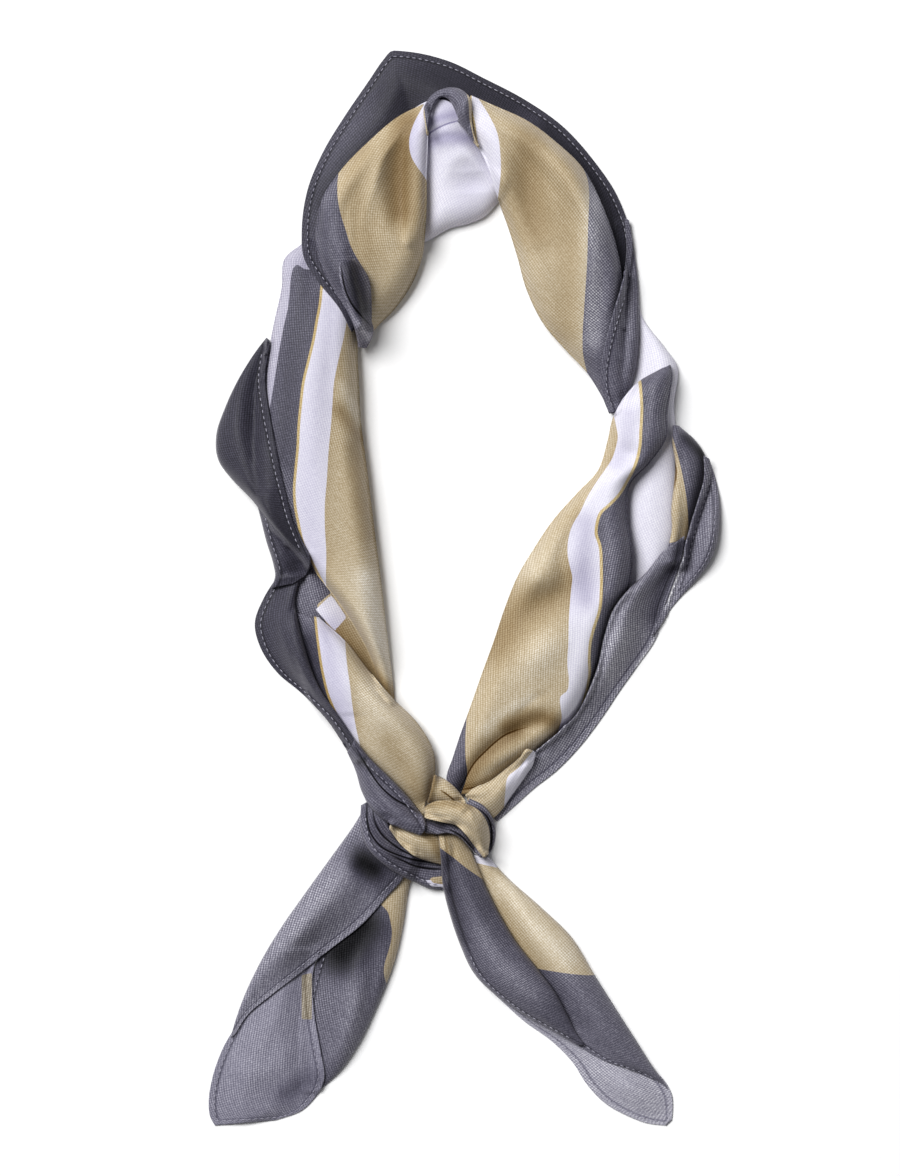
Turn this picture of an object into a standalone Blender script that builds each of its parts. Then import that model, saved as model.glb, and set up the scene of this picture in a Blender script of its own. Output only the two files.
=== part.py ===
"""A square silk neckerchief, folded on the diagonal into a band, looped and tied, lying flat.

+Z is up, and +Y runs from the tips of the tails to the back of the neck.
The cloth is modelled fold by fold, from the lowest up. Each fold is a strip between a left
and a right edge, laid over the folds before it. A sleeve is a folded-over band, hollow
between its two walls, and a sheet is a single wall.
"""

from collections import namedtuple

import bmesh
import bpy
import numpy as np

# Driving sizes, in metres
LENGTH = 0.408
WIDTH = 0.194
LOFT = 0.018
CLOTH_WALL = 0.0010
LAYER_GAP = 0.0003
FOLD_ROUNDING = 0.009
HEM_SLOPE = 0.016
SLEEVE_OPENING = 0.0014

# How cloth settles over what it lies on, in metres
SETTLE = 0.0060
SETTLE_CREST = 0.0120

# A narrow fold still rises to at least this share of its height
NARROW_RISE = 0.6
# A sleeve's walls meet at this share of its height, and its underside turns up to there
# from this share of the way between its middle line and its edge
SEAM_HEIGHT = 0.36
TURN_UP = 0.55
# The hollow tapers shut over this share of the sleeve's half width
TAPER = 0.3
# A ridge or dent fades out over this share of its run at either end
FADE = 0.1

# The map of heights, and how finely and how often a fold is tried against it
MAP_CELL = 0.0008
MAP_MARGIN = 0.012
SAMPLE_STEP = 0.6 * MAP_CELL
CELL_SPLITS = 8
SEATING_ROUNDS = 40
EASING_ROUNDS = 2
TOUCHING = 1e-6

# Edge places in the tables are hundredths of WIDTH and LENGTH
HUNDREDTH = 1 / 100

SLATE = (0.105, 0.100, 0.125)
GOLD = (0.520, 0.400, 0.200)
PALE = (0.720, 0.705, 0.760)
SATIN_ROUGHNESS = 0.55

Piece = namedtuple("Piece", "name form colour along across left right rows")
Fold = namedtuple("Fold", "piece from_along from_across to_along to_across height reach")

# Columns of every outline table: left edge across and up, right edge across and up,
# then the height of the cloth over what lies under it, as a share of LOFT.
RIGHT_PALE_FOLD = (
    (80.0, 84.0, 83.3, 84.0, 0.20),
    (81.0, 79.0, 84.4, 79.0, 0.24),
    (82.0, 75.4, 85.6, 75.2, 0.28),
    (82.5, 72.6, 89.4, 72.4, 0.32),
    (82.0, 70.0, 91.7, 70.6, 0.34),
    (81.0, 67.2, 91.1, 67.2, 0.34),
    (79.5, 63.0, 91.6, 64.2, 0.34),
    (79.0, 59.0, 92.0, 60.0, 0.34),
    (79.0, 55.0, 92.0, 56.0, 0.32),
    (80.5, 51.6, 90.0, 52.6, 0.28),
    (82.0, 49.4, 86.0, 49.8, 0.20),
)
LEFT_UNDER_FOLD = (
    (15.0, 53.2, 23.0, 53.2, 0.16),
    (14.0, 50.4, 26.5, 50.4, 0.24),
    (14.0, 47.6, 30.5, 47.6, 0.28),
    (15.5, 44.4, 33.5, 44.4, 0.28),
    (18.5, 41.4, 34.5, 41.4, 0.24),
    (23.0, 38.6, 33.5, 38.6, 0.16),
)
LEFT_BAND = (
    (18.2, 82.0, 31.0, 81.0, 0.46),
    (15.0, 80.7, 30.4, 78.6, 0.62),
    (14.3, 77.8, 29.7, 75.6, 0.76),
    (12.8, 74.5, 29.2, 72.6, 0.84),
    (11.3, 70.5, 29.5, 69.0, 0.88),
    (10.0, 66.0, 29.9, 65.4, 0.88),
    (10.0, 61.0, 31.1, 61.0, 0.86),
    (12.4, 56.0, 32.5, 55.5, 0.84),
    (20.0, 52.0, 33.9, 50.3, 0.80),
    (26.6, 47.8, 34.9, 46.0, 0.70),
    (31.2, 44.0, 35.8, 42.3, 0.52),
    (33.4, 41.0, 36.4, 39.4, 0.34),
)
CORNER_FLAP = (
    (25.6, 76.1, 29.0, 76.8, 0.12),
    (21.4, 78.5, 27.2, 79.3, 0.16),
    (18.7, 80.7, 27.0, 81.6, 0.20),
    (18.2, 83.4, 28.0, 83.8, 0.26),
    (19.3, 87.0, 30.0, 85.8, 0.30),
    (22.4, 90.6, 33.0, 87.6, 0.32),
    (26.6, 93.9, 36.0, 89.2, 0.32),
    (31.2, 97.1, 39.0, 90.2, 0.30),
    (34.6, 99.4, 41.0, 90.6, 0.26),
    (36.2, 100.0, 42.0, 90.6, 0.24),
    (40.0, 99.85, 44.0, 90.5, 0.26),
    (46.5, 99.1, 48.0, 90.2, 0.32),
    (54.0, 97.4, 54.0, 89.5, 0.36),
    (62.0, 95.4, 60.0, 88.0, 0.38),
    (69.4, 92.9, 65.5, 86.0, 0.38),
    (75.6, 89.6, 69.5, 83.5, 0.38),
    (80.0, 86.4, 73.0, 81.0, 0.36),
    (82.1, 83.6, 75.5, 79.0, 0.32),
    (82.3, 81.0, 77.0, 77.0, 0.24),
    (81.0, 78.6, 77.5, 75.5, 0.16),
)
INNER_PANEL = (
    (39.0, 81.6, 39.0, 94.2, 0.24),
    (43.0, 82.3, 43.0, 95.2, 0.34),
    (47.0, 83.4, 46.6, 95.2, 0.40),
    (51.0, 83.9, 50.0, 94.0, 0.40),
    (54.4, 84.7, 54.0, 92.0, 0.34),
    (58.6, 87.0, 58.0, 90.6, 0.22),
)
LEFT_LEAF = (
    (42.0, 94.9, 43.0, 93.2, 0.24),
    (37.4, 93.8, 42.9, 90.8, 0.40),
    (31.6, 91.5, 42.7, 88.2, 0.56),
    (26.4, 89.0, 42.7, 85.6, 0.66),
    (22.4, 86.2, 42.4, 82.8, 0.70),
    (21.0, 83.0, 41.6, 80.4, 0.68),
    (21.9, 80.2, 39.4, 77.9, 0.58),
    (24.4, 77.7, 36.2, 75.8, 0.44),
    (27.4, 75.4, 33.2, 74.4, 0.30),
    (29.4, 73.2, 31.8, 73.6, 0.22),
)
RIGHT_LEAF = (
    (48.6, 93.2, 51.3, 95.7, 0.26),
    (51.4, 91.7, 56.0, 94.7, 0.42),
    (54.0, 89.6, 62.0, 93.4, 0.56),
    (56.2, 86.5, 68.0, 91.3, 0.70),
    (58.3, 83.8, 73.0, 89.0, 0.78),
    (60.3, 80.8, 77.3, 85.0, 0.80),
    (62.3, 77.5, 80.0, 81.0, 0.78),
    (65.5, 74.5, 81.0, 77.5, 0.70),
    (70.0, 72.0, 80.6, 74.0, 0.60),
    (74.0, 70.0, 80.2, 71.0, 0.48),
    (76.7, 68.0, 80.2, 68.2, 0.36),
    (78.7, 66.2, 79.9, 66.4, 0.24),
)
ARCH_FOLD = (
    (42.6, 92.0, 43.4, 91.9, 0.22),
    (42.0, 94.2, 43.3, 93.6, 0.30),
    (43.1, 95.6, 44.3, 95.0, 0.36),
    (45.2, 96.3, 45.6, 95.5, 0.40),
    (48.0, 96.5, 47.2, 95.4, 0.40),
    (50.4, 95.9, 48.4, 94.4, 0.38),
    (51.3, 94.2, 49.2, 93.0, 0.36),
    (52.2, 92.4, 50.6, 91.8, 0.28),
    (53.6, 90.8, 52.6, 90.6, 0.20),
)
LEFT_PINCH_FOLD = (
    (25.7, 79.9, 28.6, 80.4, 0.22),
    (25.9, 78.4, 31.2, 78.9, 0.32),
    (26.9, 76.7, 32.0, 76.6, 0.38),
    (28.1, 75.0, 31.9, 74.9, 0.38),
    (29.0, 73.4, 32.3, 73.7, 0.32),
    (29.4, 72.3, 30.8, 72.4, 0.22),
)
RIGHT_TURNED_HEM = (
    (81.4, 84.4, 82.2, 84.2, 0.10),
    (81.8, 81.6, 83.1, 81.6, 0.14),
    (81.0, 78.5, 83.9, 78.7, 0.18),
    (79.0, 75.3, 84.2, 75.5, 0.22),
    (77.3, 72.3, 84.0, 72.3, 0.24),
    (76.5, 69.7, 83.2, 69.8, 0.22),
    (77.0, 67.8, 81.5, 67.8, 0.18),
    (78.3, 66.2, 79.8, 66.4, 0.12),
)
RIGHT_BAND = (
    (88.2, 70.3, 90.3, 70.7, 0.28),
    (84.7, 69.4, 90.6, 69.8, 0.40),
    (81.5, 67.9, 90.2, 68.2, 0.48),
    (79.1, 65.9, 89.6, 66.2, 0.52),
    (78.0, 63.7, 89.4, 64.0, 0.54),
    (76.2, 61.0, 86.3, 61.7, 0.56),
    (72.0, 58.8, 82.4, 59.6, 0.66),
    (67.5, 56.4, 81.8, 56.6, 0.76),
    (63.5, 53.6, 82.8, 53.2, 0.84),
    (60.3, 51.0, 82.2, 50.0, 0.86),
    (57.8, 48.0, 79.2, 47.8, 0.86),
    (55.7, 45.0, 77.2, 45.2, 0.84),
    (53.4, 42.0, 75.8, 42.4, 0.80),
    (51.2, 39.0, 73.0, 39.3, 0.72),
    (49.3, 36.5, 68.8, 36.8, 0.60),
    (47.8, 34.3, 64.0, 35.0, 0.46),
    (46.5, 32.3, 58.6, 33.2, 0.34),
    (47.3, 30.8, 54.0, 31.0, 0.24),
)
RIGHT_INNER_FOLD = (
    (90.7, 65.1, 92.0, 65.1, 0.14),
    (90.5, 63.6, 95.3, 63.7, 0.26),
    (91.1, 61.6, 97.4, 61.9, 0.32),
    (90.8, 59.5, 97.2, 59.7, 0.32),
    (90.3, 57.2, 95.6, 57.3, 0.28),
    (90.4, 55.3, 94.2, 55.2, 0.24),
    (89.8, 53.9, 93.4, 54.0, 0.20),
    (88.6, 52.4, 92.4, 52.6, 0.14),
)
RIGHT_HEM_PANEL = (
    (88.5, 53.3, 93.0, 54.8, 0.16),
    (85.0, 51.2, 92.3, 52.3, 0.26),
    (82.0, 49.9, 90.8, 50.3, 0.34),
    (79.2, 48.2, 89.3, 48.3, 0.38),
    (77.3, 45.6, 87.6, 45.4, 0.38),
    (76.0, 42.8, 83.8, 42.7, 0.36),
    (74.4, 40.7, 80.5, 40.5, 0.32),
    (72.0, 38.4, 76.7, 37.8, 0.28),
    (68.5, 36.7, 72.5, 35.2, 0.26),
    (64.5, 35.0, 68.0, 33.0, 0.24),
    (61.5, 32.9, 63.7, 31.4, 0.22),
    (59.0, 30.6, 60.2, 29.9, 0.18),
    (55.6, 28.7, 56.4, 28.3, 0.12),
)
RIGHT_LOBE_HEM = (
    (96.9, 62.3, 97.9, 62.0, 0.14),
    (97.0, 60.4, 99.0, 60.5, 0.24),
    (95.8, 58.2, 100.0, 58.2, 0.34),
    (94.3, 55.9, 100.0, 56.0, 0.40),
    (93.2, 53.8, 99.4, 54.0, 0.40),
    (92.2, 51.9, 97.8, 52.2, 0.34),
    (91.2, 50.3, 95.0, 50.5, 0.26),
    (90.2, 49.1, 92.4, 49.2, 0.18),
    (89.1, 48.0, 90.4, 48.2, 0.12),
)
RIGHT_LOWER_FOLD = (
    (62.6, 35.2, 64.0, 34.3, 0.22),
    (60.4, 34.1, 61.8, 32.4, 0.30),
    (57.5, 33.0, 59.4, 30.8, 0.34),
    (54.6, 32.0, 57.0, 29.2, 0.34),
    (52.0, 31.5, 55.0, 28.4, 0.30),
    (50.2, 30.8, 52.6, 28.2, 0.24),
)
LEFT_FRONT_FOLD = (
    (16.5, 47.7, 21.6, 47.3, 0.24),
    (17.5, 44.6, 27.0, 45.0, 0.42),
    (19.0, 41.6, 31.2, 42.5, 0.56),
    (21.5, 39.0, 36.3, 39.7, 0.68),
    (25.0, 36.8, 41.0, 37.4, 0.74),
    (29.0, 34.5, 44.0, 34.8, 0.70),
    (33.5, 32.6, 44.3, 32.6, 0.56),
    (37.4, 31.0, 43.5, 31.0, 0.42),
    (39.8, 29.8, 42.7, 29.9, 0.30),
    (41.2, 28.8, 42.2, 28.9, 0.22),
)
LEFT_LOBE_LOWER = (
    (13.0, 50.8, 18.0, 51.0, 0.16),
    (10.8, 49.1, 17.0, 48.9, 0.28),
    (9.05, 46.9, 17.7, 46.8, 0.40),
    (10.0, 44.6, 19.0, 44.5, 0.44),
    (13.5, 42.1, 20.7, 42.0, 0.40),
    (18.0, 40.3, 22.7, 40.1, 0.34),
    (23.0, 37.9, 25.6, 38.2, 0.28),
    (26.0, 35.8, 28.2, 36.3, 0.24),
    (28.2, 33.9, 30.4, 34.5, 0.18),
)
LEFT_LOBE_MIDDLE = (
    (9.0, 58.6, 13.0, 58.8, 0.14),
    (10.1, 56.6, 16.6, 56.4, 0.22),
    (11.3, 54.3, 18.8, 54.1, 0.26),
    (12.6, 52.3, 20.0, 52.5, 0.26),
    (13.0, 51.1, 19.2, 51.3, 0.22),
    (12.2, 50.0, 16.5, 50.4, 0.16),
)
LEFT_LOBE_UPPER = (
    (11.4, 74.5, 12.7, 74.3, 0.14),
    (9.3, 72.7, 11.5, 71.8, 0.22),
    (6.0, 69.6, 11.0, 69.2, 0.32),
    (3.3, 66.9, 12.0, 66.2, 0.40),
    (1.5, 64.3, 13.2, 63.4, 0.46),
    (1.9, 61.9, 14.4, 60.7, 0.46),
    (4.6, 60.1, 15.6, 58.3, 0.42),
    (8.3, 58.3, 16.7, 56.1, 0.34),
    (12.0, 56.2, 18.1, 54.3, 0.26),
    (15.6, 54.3, 19.4, 52.9, 0.16),
)
TAIL_LEFT_BACK = (
    (28.0, 27.0, 41.0, 25.0, 0.20),
    (27.0, 23.0, 39.2, 22.0, 0.26),
    (24.0, 19.0, 38.0, 18.5, 0.30),
    (21.0, 15.0, 36.2, 15.0, 0.32),
    (19.0, 11.0, 32.8, 11.0, 0.32),
    (18.5, 7.5, 29.2, 7.5, 0.28),
    (18.5, 4.9, 25.4, 4.9, 0.20),
    (19.0, 3.3, 22.3, 3.5, 0.12),
)
TAIL_LEFT_TIP = (
    (12.5, 16.2, 21.4, 16.4, 0.16),
    (8.5, 12.5, 20.3, 13.6, 0.20),
    (5.4, 9.4, 20.7, 10.2, 0.24),
    (2.6, 7.0, 21.9, 6.9, 0.24),
    (0.7, 4.4, 22.6, 4.3, 0.20),
    (0.0, 2.3, 20.8, 2.6, 0.16),
    (0.3, 0.8, 17.4, 1.2, 0.12),
    (1.2, 0.0, 13.0, 0.5, 0.08),
)
TAIL_LEFT_FRONT = (
    (31.0, 30.0, 40.0, 26.0, 0.26),
    (28.5, 28.0, 38.6, 23.5, 0.34),
    (24.0, 25.0, 35.0, 21.4, 0.42),
    (19.0, 21.7, 30.0, 18.8, 0.44),
    (14.0, 18.3, 24.0, 16.5, 0.42),
    (10.0, 15.1, 17.6, 14.1, 0.36),
    (7.0, 12.1, 12.0, 12.1, 0.28),
    (5.2, 9.7, 7.4, 10.2, 0.20),
    (4.3, 8.2, 5.0, 8.4, 0.12),
)
TAIL_RIGHT_TIP = (
    (53.0, 13.5, 60.0, 13.2, 0.12),
    (57.5, 11.5, 66.0, 10.8, 0.14),
    (62.0, 9.6, 72.0, 9.0, 0.16),
    (67.0, 7.9, 77.0, 8.0, 0.18),
    (71.0, 6.0, 81.0, 7.0, 0.20),
    (74.2, 3.7, 85.0, 5.8, 0.20),
    (77.5, 2.1, 88.4, 4.6, 0.20),
    (81.5, 1.0, 90.5, 3.0, 0.18),
    (86.0, 0.2, 90.8, 1.6, 0.14),
    (89.5, 0.0, 90.6, 0.5, 0.08),
)
TAIL_RIGHT_BACK = (
    (48.0, 25.4, 54.8, 25.0, 0.22),
    (52.0, 22.0, 58.6, 23.0, 0.28),
    (55.0, 18.5, 65.0, 20.3, 0.34),
    (58.0, 15.2, 71.0, 17.5, 0.38),
    (62.0, 12.2, 75.5, 14.0, 0.38),
    (67.0, 9.6, 79.6, 10.9, 0.36),
    (72.0, 7.6, 83.5, 8.0, 0.32),
    (78.0, 6.0, 87.0, 5.4, 0.24),
    (84.0, 5.1, 89.0, 4.1, 0.16),
    (88.0, 4.2, 89.7, 3.5, 0.10),
)
KNOT_SIDE_LAYERS = (
    (50.0, 29.4, 51.0, 30.5, 0.22),
    (51.6, 28.6, 53.6, 29.9, 0.28),
    (52.4, 27.6, 55.5, 28.7, 0.32),
    (52.6, 26.7, 56.1, 27.3, 0.32),
    (52.6, 25.9, 55.6, 25.9, 0.28),
    (52.8, 25.2, 54.4, 24.9, 0.20),
)
KNOT_TOP_FOLD = (
    (42.9, 30.0, 44.3, 32.7, 0.24),
    (45.4, 29.8, 46.4, 32.2, 0.30),
    (47.6, 29.6, 48.4, 31.4, 0.30),
    (49.6, 29.4, 50.2, 30.3, 0.22),
)
KNOT_HEM_WRAP = (
    (29.8, 29.8, 31.6, 30.3, 0.18),
    (29.8, 27.8, 34.6, 28.5, 0.34),
    (31.0, 26.0, 35.8, 27.3, 0.42),
    (33.5, 24.7, 37.8, 26.1, 0.46),
    (37.0, 23.5, 40.5, 25.2, 0.46),
    (40.5, 22.6, 43.3, 24.6, 0.42),
    (43.8, 21.95, 45.9, 24.3, 0.34),
    (46.6, 21.9, 47.2, 24.0, 0.22),
)
KNOT_LOWER_WRAP = (
    (35.3, 27.7, 36.0, 28.4, 0.22),
    (37.0, 26.6, 38.4, 28.4, 0.32),
    (39.6, 25.4, 41.4, 28.4, 0.38),
    (42.4, 24.7, 44.0, 28.0, 0.38),
    (44.7, 24.4, 46.2, 27.4, 0.34),
    (46.4, 24.2, 47.4, 26.4, 0.24),
)
TAIL_RIGHT_FRONT = (
    (44.9, 27.3, 50.0, 27.2, 0.22),
    (45.4, 25.0, 51.8, 25.2, 0.34),
    (45.8, 22.4, 54.0, 22.6, 0.42),
    (47.2, 19.6, 57.0, 19.7, 0.46),
    (49.3, 16.7, 60.3, 17.1, 0.46),
    (52.0, 14.1, 64.3, 14.7, 0.44),
    (56.5, 12.0, 67.8, 12.5, 0.38),
    (62.0, 10.2, 70.2, 10.3, 0.30),
    (67.5, 8.8, 71.9, 8.7, 0.20),
    (72.2, 7.5, 73.4, 7.6, 0.12),
)
KNOT_ROLL = (
    (42.2, 28.7, 42.4, 27.3, 0.22),
    (44.7, 28.5, 44.5, 27.2, 0.30),
    (47.8, 28.4, 47.0, 27.3, 0.34),
    (50.0, 27.7, 49.3, 26.8, 0.34),
    (51.9, 26.6, 50.9, 26.0, 0.30),
    (54.0, 25.3, 53.2, 24.95, 0.22),
)
KNOT_CRESCENT = (
    (42.0, 29.6, 42.3, 28.7, 0.24),
    (43.8, 30.15, 43.6, 28.55, 0.40),
    (46.8, 30.35, 46.0, 28.3, 0.50),
    (50.2, 30.1, 48.5, 28.0, 0.54),
    (52.9, 29.4, 50.3, 27.2, 0.54),
    (54.6, 28.1, 51.7, 26.3, 0.50),
    (55.0, 26.6, 52.9, 25.5, 0.38),
    (54.6, 25.3, 53.7, 25.0, 0.24),
)
KNOT_HEM_NOSE = (
    (27.2, 34.8, 28.8, 36.0, 0.16),
    (28.8, 32.9, 31.2, 34.1, 0.26),
    (30.0, 31.0, 34.5, 32.2, 0.34),
    (32.2, 29.4, 37.8, 30.4, 0.38),
    (35.4, 28.2, 40.3, 29.3, 0.38),
    (38.8, 27.5, 41.9, 28.7, 0.34),
    (41.6, 27.1, 42.4, 28.2, 0.24),
)

# The folds from the lowest up. Along and across are the cells of the cloth's grid.
PIECES = (
    Piece("right_pale_fold", "sheet", PALE, 14, 4, "hem", "fold", RIGHT_PALE_FOLD),
    Piece("left_under_fold", "sheet", PALE, 8, 5, "hem", "hem", LEFT_UNDER_FOLD),
    Piece("left_band", "sleeve", GOLD, 16, 6, "fold", "fold", LEFT_BAND),
    Piece("corner_flap", "sheet", SLATE, 26, 4, "hem", "hem", CORNER_FLAP),
    Piece("inner_panel", "sheet", PALE, 8, 5, "fold", "hem", INNER_PANEL),
    Piece("left_leaf", "sleeve", GOLD, 13, 6, "fold", "fold", LEFT_LEAF),
    Piece("right_leaf", "sleeve", GOLD, 15, 6, "fold", "fold", RIGHT_LEAF),
    Piece("arch_fold", "sleeve", SLATE, 12, 4, "fold", "fold", ARCH_FOLD),
    Piece("left_pinch_fold", "sleeve", SLATE, 7, 4, "fold", "fold", LEFT_PINCH_FOLD),
    Piece("right_turned_hem", "sheet", SLATE, 12, 3, "hem", "fold", RIGHT_TURNED_HEM),
    Piece("right_band", "sleeve", GOLD, 20, 6, "fold", "fold", RIGHT_BAND),
    Piece("right_inner_fold", "sheet", SLATE, 8, 4, "fold", "fold", RIGHT_INNER_FOLD),
    Piece("right_hem_panel", "sheet", SLATE, 18, 4, "fold", "hem", RIGHT_HEM_PANEL),
    Piece("right_lobe_hem", "sheet", SLATE, 10, 4, "hem", "fold", RIGHT_LOBE_HEM),
    Piece("right_lower_fold", "sleeve", GOLD, 8, 4, "fold", "fold", RIGHT_LOWER_FOLD),
    Piece("left_front_fold", "sleeve", GOLD, 13, 6, "fold", "fold", LEFT_FRONT_FOLD),
    Piece("left_lobe_lower", "sheet", SLATE, 12, 4, "hem", "fold", LEFT_LOBE_LOWER),
    Piece("left_lobe_middle", "sheet", SLATE, 7, 4, "fold", "hem", LEFT_LOBE_MIDDLE),
    Piece("left_lobe_upper", "sheet", SLATE, 12, 5, "fold", "hem", LEFT_LOBE_UPPER),
    Piece("tail_left_back", "sheet", SLATE, 11, 4, "hem", "fold", TAIL_LEFT_BACK),
    Piece("tail_left_tip", "sheet", SLATE, 9, 5, "hem", "hem", TAIL_LEFT_TIP),
    Piece("tail_left_front", "sheet", SLATE, 13, 4, "fold", "hem", TAIL_LEFT_FRONT),
    Piece("tail_right_tip", "sheet", SLATE, 13, 4, "hem", "hem", TAIL_RIGHT_TIP),
    Piece("tail_right_back", "sheet", SLATE, 13, 4, "hem", "fold", TAIL_RIGHT_BACK),
    Piece("knot_side_layers", "sheet", SLATE, 7, 3, "hem", "fold", KNOT_SIDE_LAYERS),
    Piece("knot_top_fold", "sheet", GOLD, 6, 4, "fold", "fold", KNOT_TOP_FOLD),
    Piece("knot_hem_wrap", "sheet", SLATE, 11, 4, "fold", "hem", KNOT_HEM_WRAP),
    Piece("knot_lower_wrap", "sleeve", GOLD, 7, 4, "fold", "fold", KNOT_LOWER_WRAP),
    Piece("tail_right_front", "sheet", SLATE, 14, 5, "fold", "fold", TAIL_RIGHT_FRONT),
    Piece("knot_roll", "sheet", SLATE, 8, 4, "fold", "fold", KNOT_ROLL),
    Piece("knot_crescent", "sleeve", GOLD, 10, 5, "fold", "fold", KNOT_CRESCENT),
    Piece("knot_hem_nose", "sheet", SLATE, 10, 4, "fold", "fold", KNOT_HEM_NOSE),
)

# Main ridges and dents: from and to are shares along and across the piece, height is a
# share of LOFT (a dent is below zero), and reach is the half width as a share of LENGTH.
FOLDS = (
    Fold("left_leaf", 0.10, 0.60, 0.80, 0.62, -0.22, 0.018),
    Fold("left_leaf", 0.05, 0.15, 0.70, 0.30, 0.12, 0.016),
    Fold("left_band", 0.25, 0.80, 0.95, 0.80, 0.14, 0.016),
    Fold("right_leaf", 0.25, 0.35, 0.75, 0.45, -0.16, 0.020),
    Fold("right_band", 0.42, 0.50, 0.62, 0.05, -0.18, 0.024),
    Fold("right_band", 0.95, 0.10, 0.78, 0.75, -0.18, 0.014),
    Fold("right_hem_panel", 0.15, 0.25, 0.80, 0.30, 0.12, 0.012),
    Fold("left_front_fold", 0.25, 0.55, 0.80, 0.45, 0.12, 0.020),
    Fold("left_lobe_lower", 0.05, 0.85, 0.60, 0.80, 0.14, 0.008),
    Fold("left_lobe_upper", 0.30, 0.45, 0.80, 0.60, 0.14, 0.018),
    Fold("tail_left_front", 0.10, 0.60, 0.22, 0.70, -0.22, 0.018),
    Fold("tail_left_back", 0.45, 0.35, 0.70, 0.60, -0.14, 0.018),
    Fold("tail_right_back", 0.25, 0.30, 0.85, 0.30, -0.18, 0.016),
    Fold("tail_right_front", 0.15, 0.30, 0.75, 0.35, 0.14, 0.014),
    Fold("corner_flap", 0.30, 0.55, 0.75, 0.60, -0.16, 0.020),
)


def clear_scene():
    for item in list(bpy.data.objects):
        bpy.data.objects.remove(item, do_unlink=True)


def make_collection(name):
    collection = bpy.data.collections.new(name)
    bpy.context.scene.collection.children.link(collection)
    return collection


def make_material(name, colour):
    material = bpy.data.materials.new(name)
    material.use_nodes = True
    shader = material.node_tree.nodes["Principled BSDF"]
    shader.inputs["Base Color"].default_value = (*colour, 1.0)
    shader.inputs["Roughness"].default_value = SATIN_ROUGHNESS
    shader.inputs["Metallic"].default_value = 0.0
    return material


def smooth_curve(knots, values, places):
    """Values read at the places on a smooth curve through the knots."""
    slopes = np.gradient(values, knots, axis=0)
    cell = np.clip(np.searchsorted(knots, places) - 1, 0, len(knots) - 2)
    span = (knots[cell + 1] - knots[cell])[:, None]
    step = (places[:, None] - knots[cell][:, None]) / span
    start = values[cell] * (1 + 2 * step) * (1 - step) ** 2
    start_slope = slopes[cell] * span * step * (1 - step) ** 2
    end = values[cell + 1] * step**2 * (3 - 2 * step)
    end_slope = slopes[cell + 1] * span * step**2 * (step - 1)
    return start + start_slope + end + end_slope


def section_rows(piece, places):
    """Left points, right points and lofts at shares of the piece's length, and that length."""
    table = np.array(piece.rows, float)
    size = np.array((WIDTH, LENGTH))
    centre = np.array((WIDTH / 2, LENGTH / 2))
    left = table[:, 0:2] * HUNDREDTH * size - centre
    right = table[:, 2:4] * HUNDREDTH * size - centre
    middle = (left + right) / 2
    steps = np.hypot(*np.diff(middle, axis=0).T)
    knots = np.concatenate(([0.0], np.cumsum(steps)))
    length = knots[-1]
    values = np.hstack((left, right, table[:, 4:5] * LOFT))
    rows = smooth_curve(knots / length, values, places)
    return rows[:, 0:2], rows[:, 2:4], rows[:, 4], length


def across_shares(piece):
    """Shares across the piece, closer together at its edges."""
    turn = np.linspace(0, np.pi, piece.across + 1)
    return (1 - np.cos(turn)) / 2


def side_ramp(distance, side):
    """How far the cloth has risen at a distance from its edge: a fold turns over sharply."""
    if side == "fold":
        share = np.clip(distance / FOLD_ROUNDING, 0, 1)
        return np.sqrt(1 - (1 - share) ** 2)
    share = np.clip(distance / HEM_SLOPE, 0, 1)
    return share * share * (3 - 2 * share)


def fold_relief(piece, along, across, length, width):
    """Height of the piece's own ridges and dents over its grid."""
    relief = np.zeros_like(across)
    for fold in FOLDS:
        if fold.piece != piece.name:
            continue
        run_along = (fold.to_along - fold.from_along) * length
        run_across = (fold.to_across - fold.from_across) * width
        gap_along = (along - fold.from_along) * length
        gap_across = (across - fold.from_across) * width
        share = gap_along * run_along + gap_across * run_across
        share = np.clip(share / (run_along**2 + run_across**2), 0, 1)
        off = np.hypot(gap_along - share * run_along, gap_across - share * run_across)
        fade = np.sin(np.pi * (FADE + (1 - 2 * FADE) * share))
        relief += fold.height * LOFT * fade * np.exp(-((off / (fold.reach * LENGTH)) ** 2))
    return relief


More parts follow.
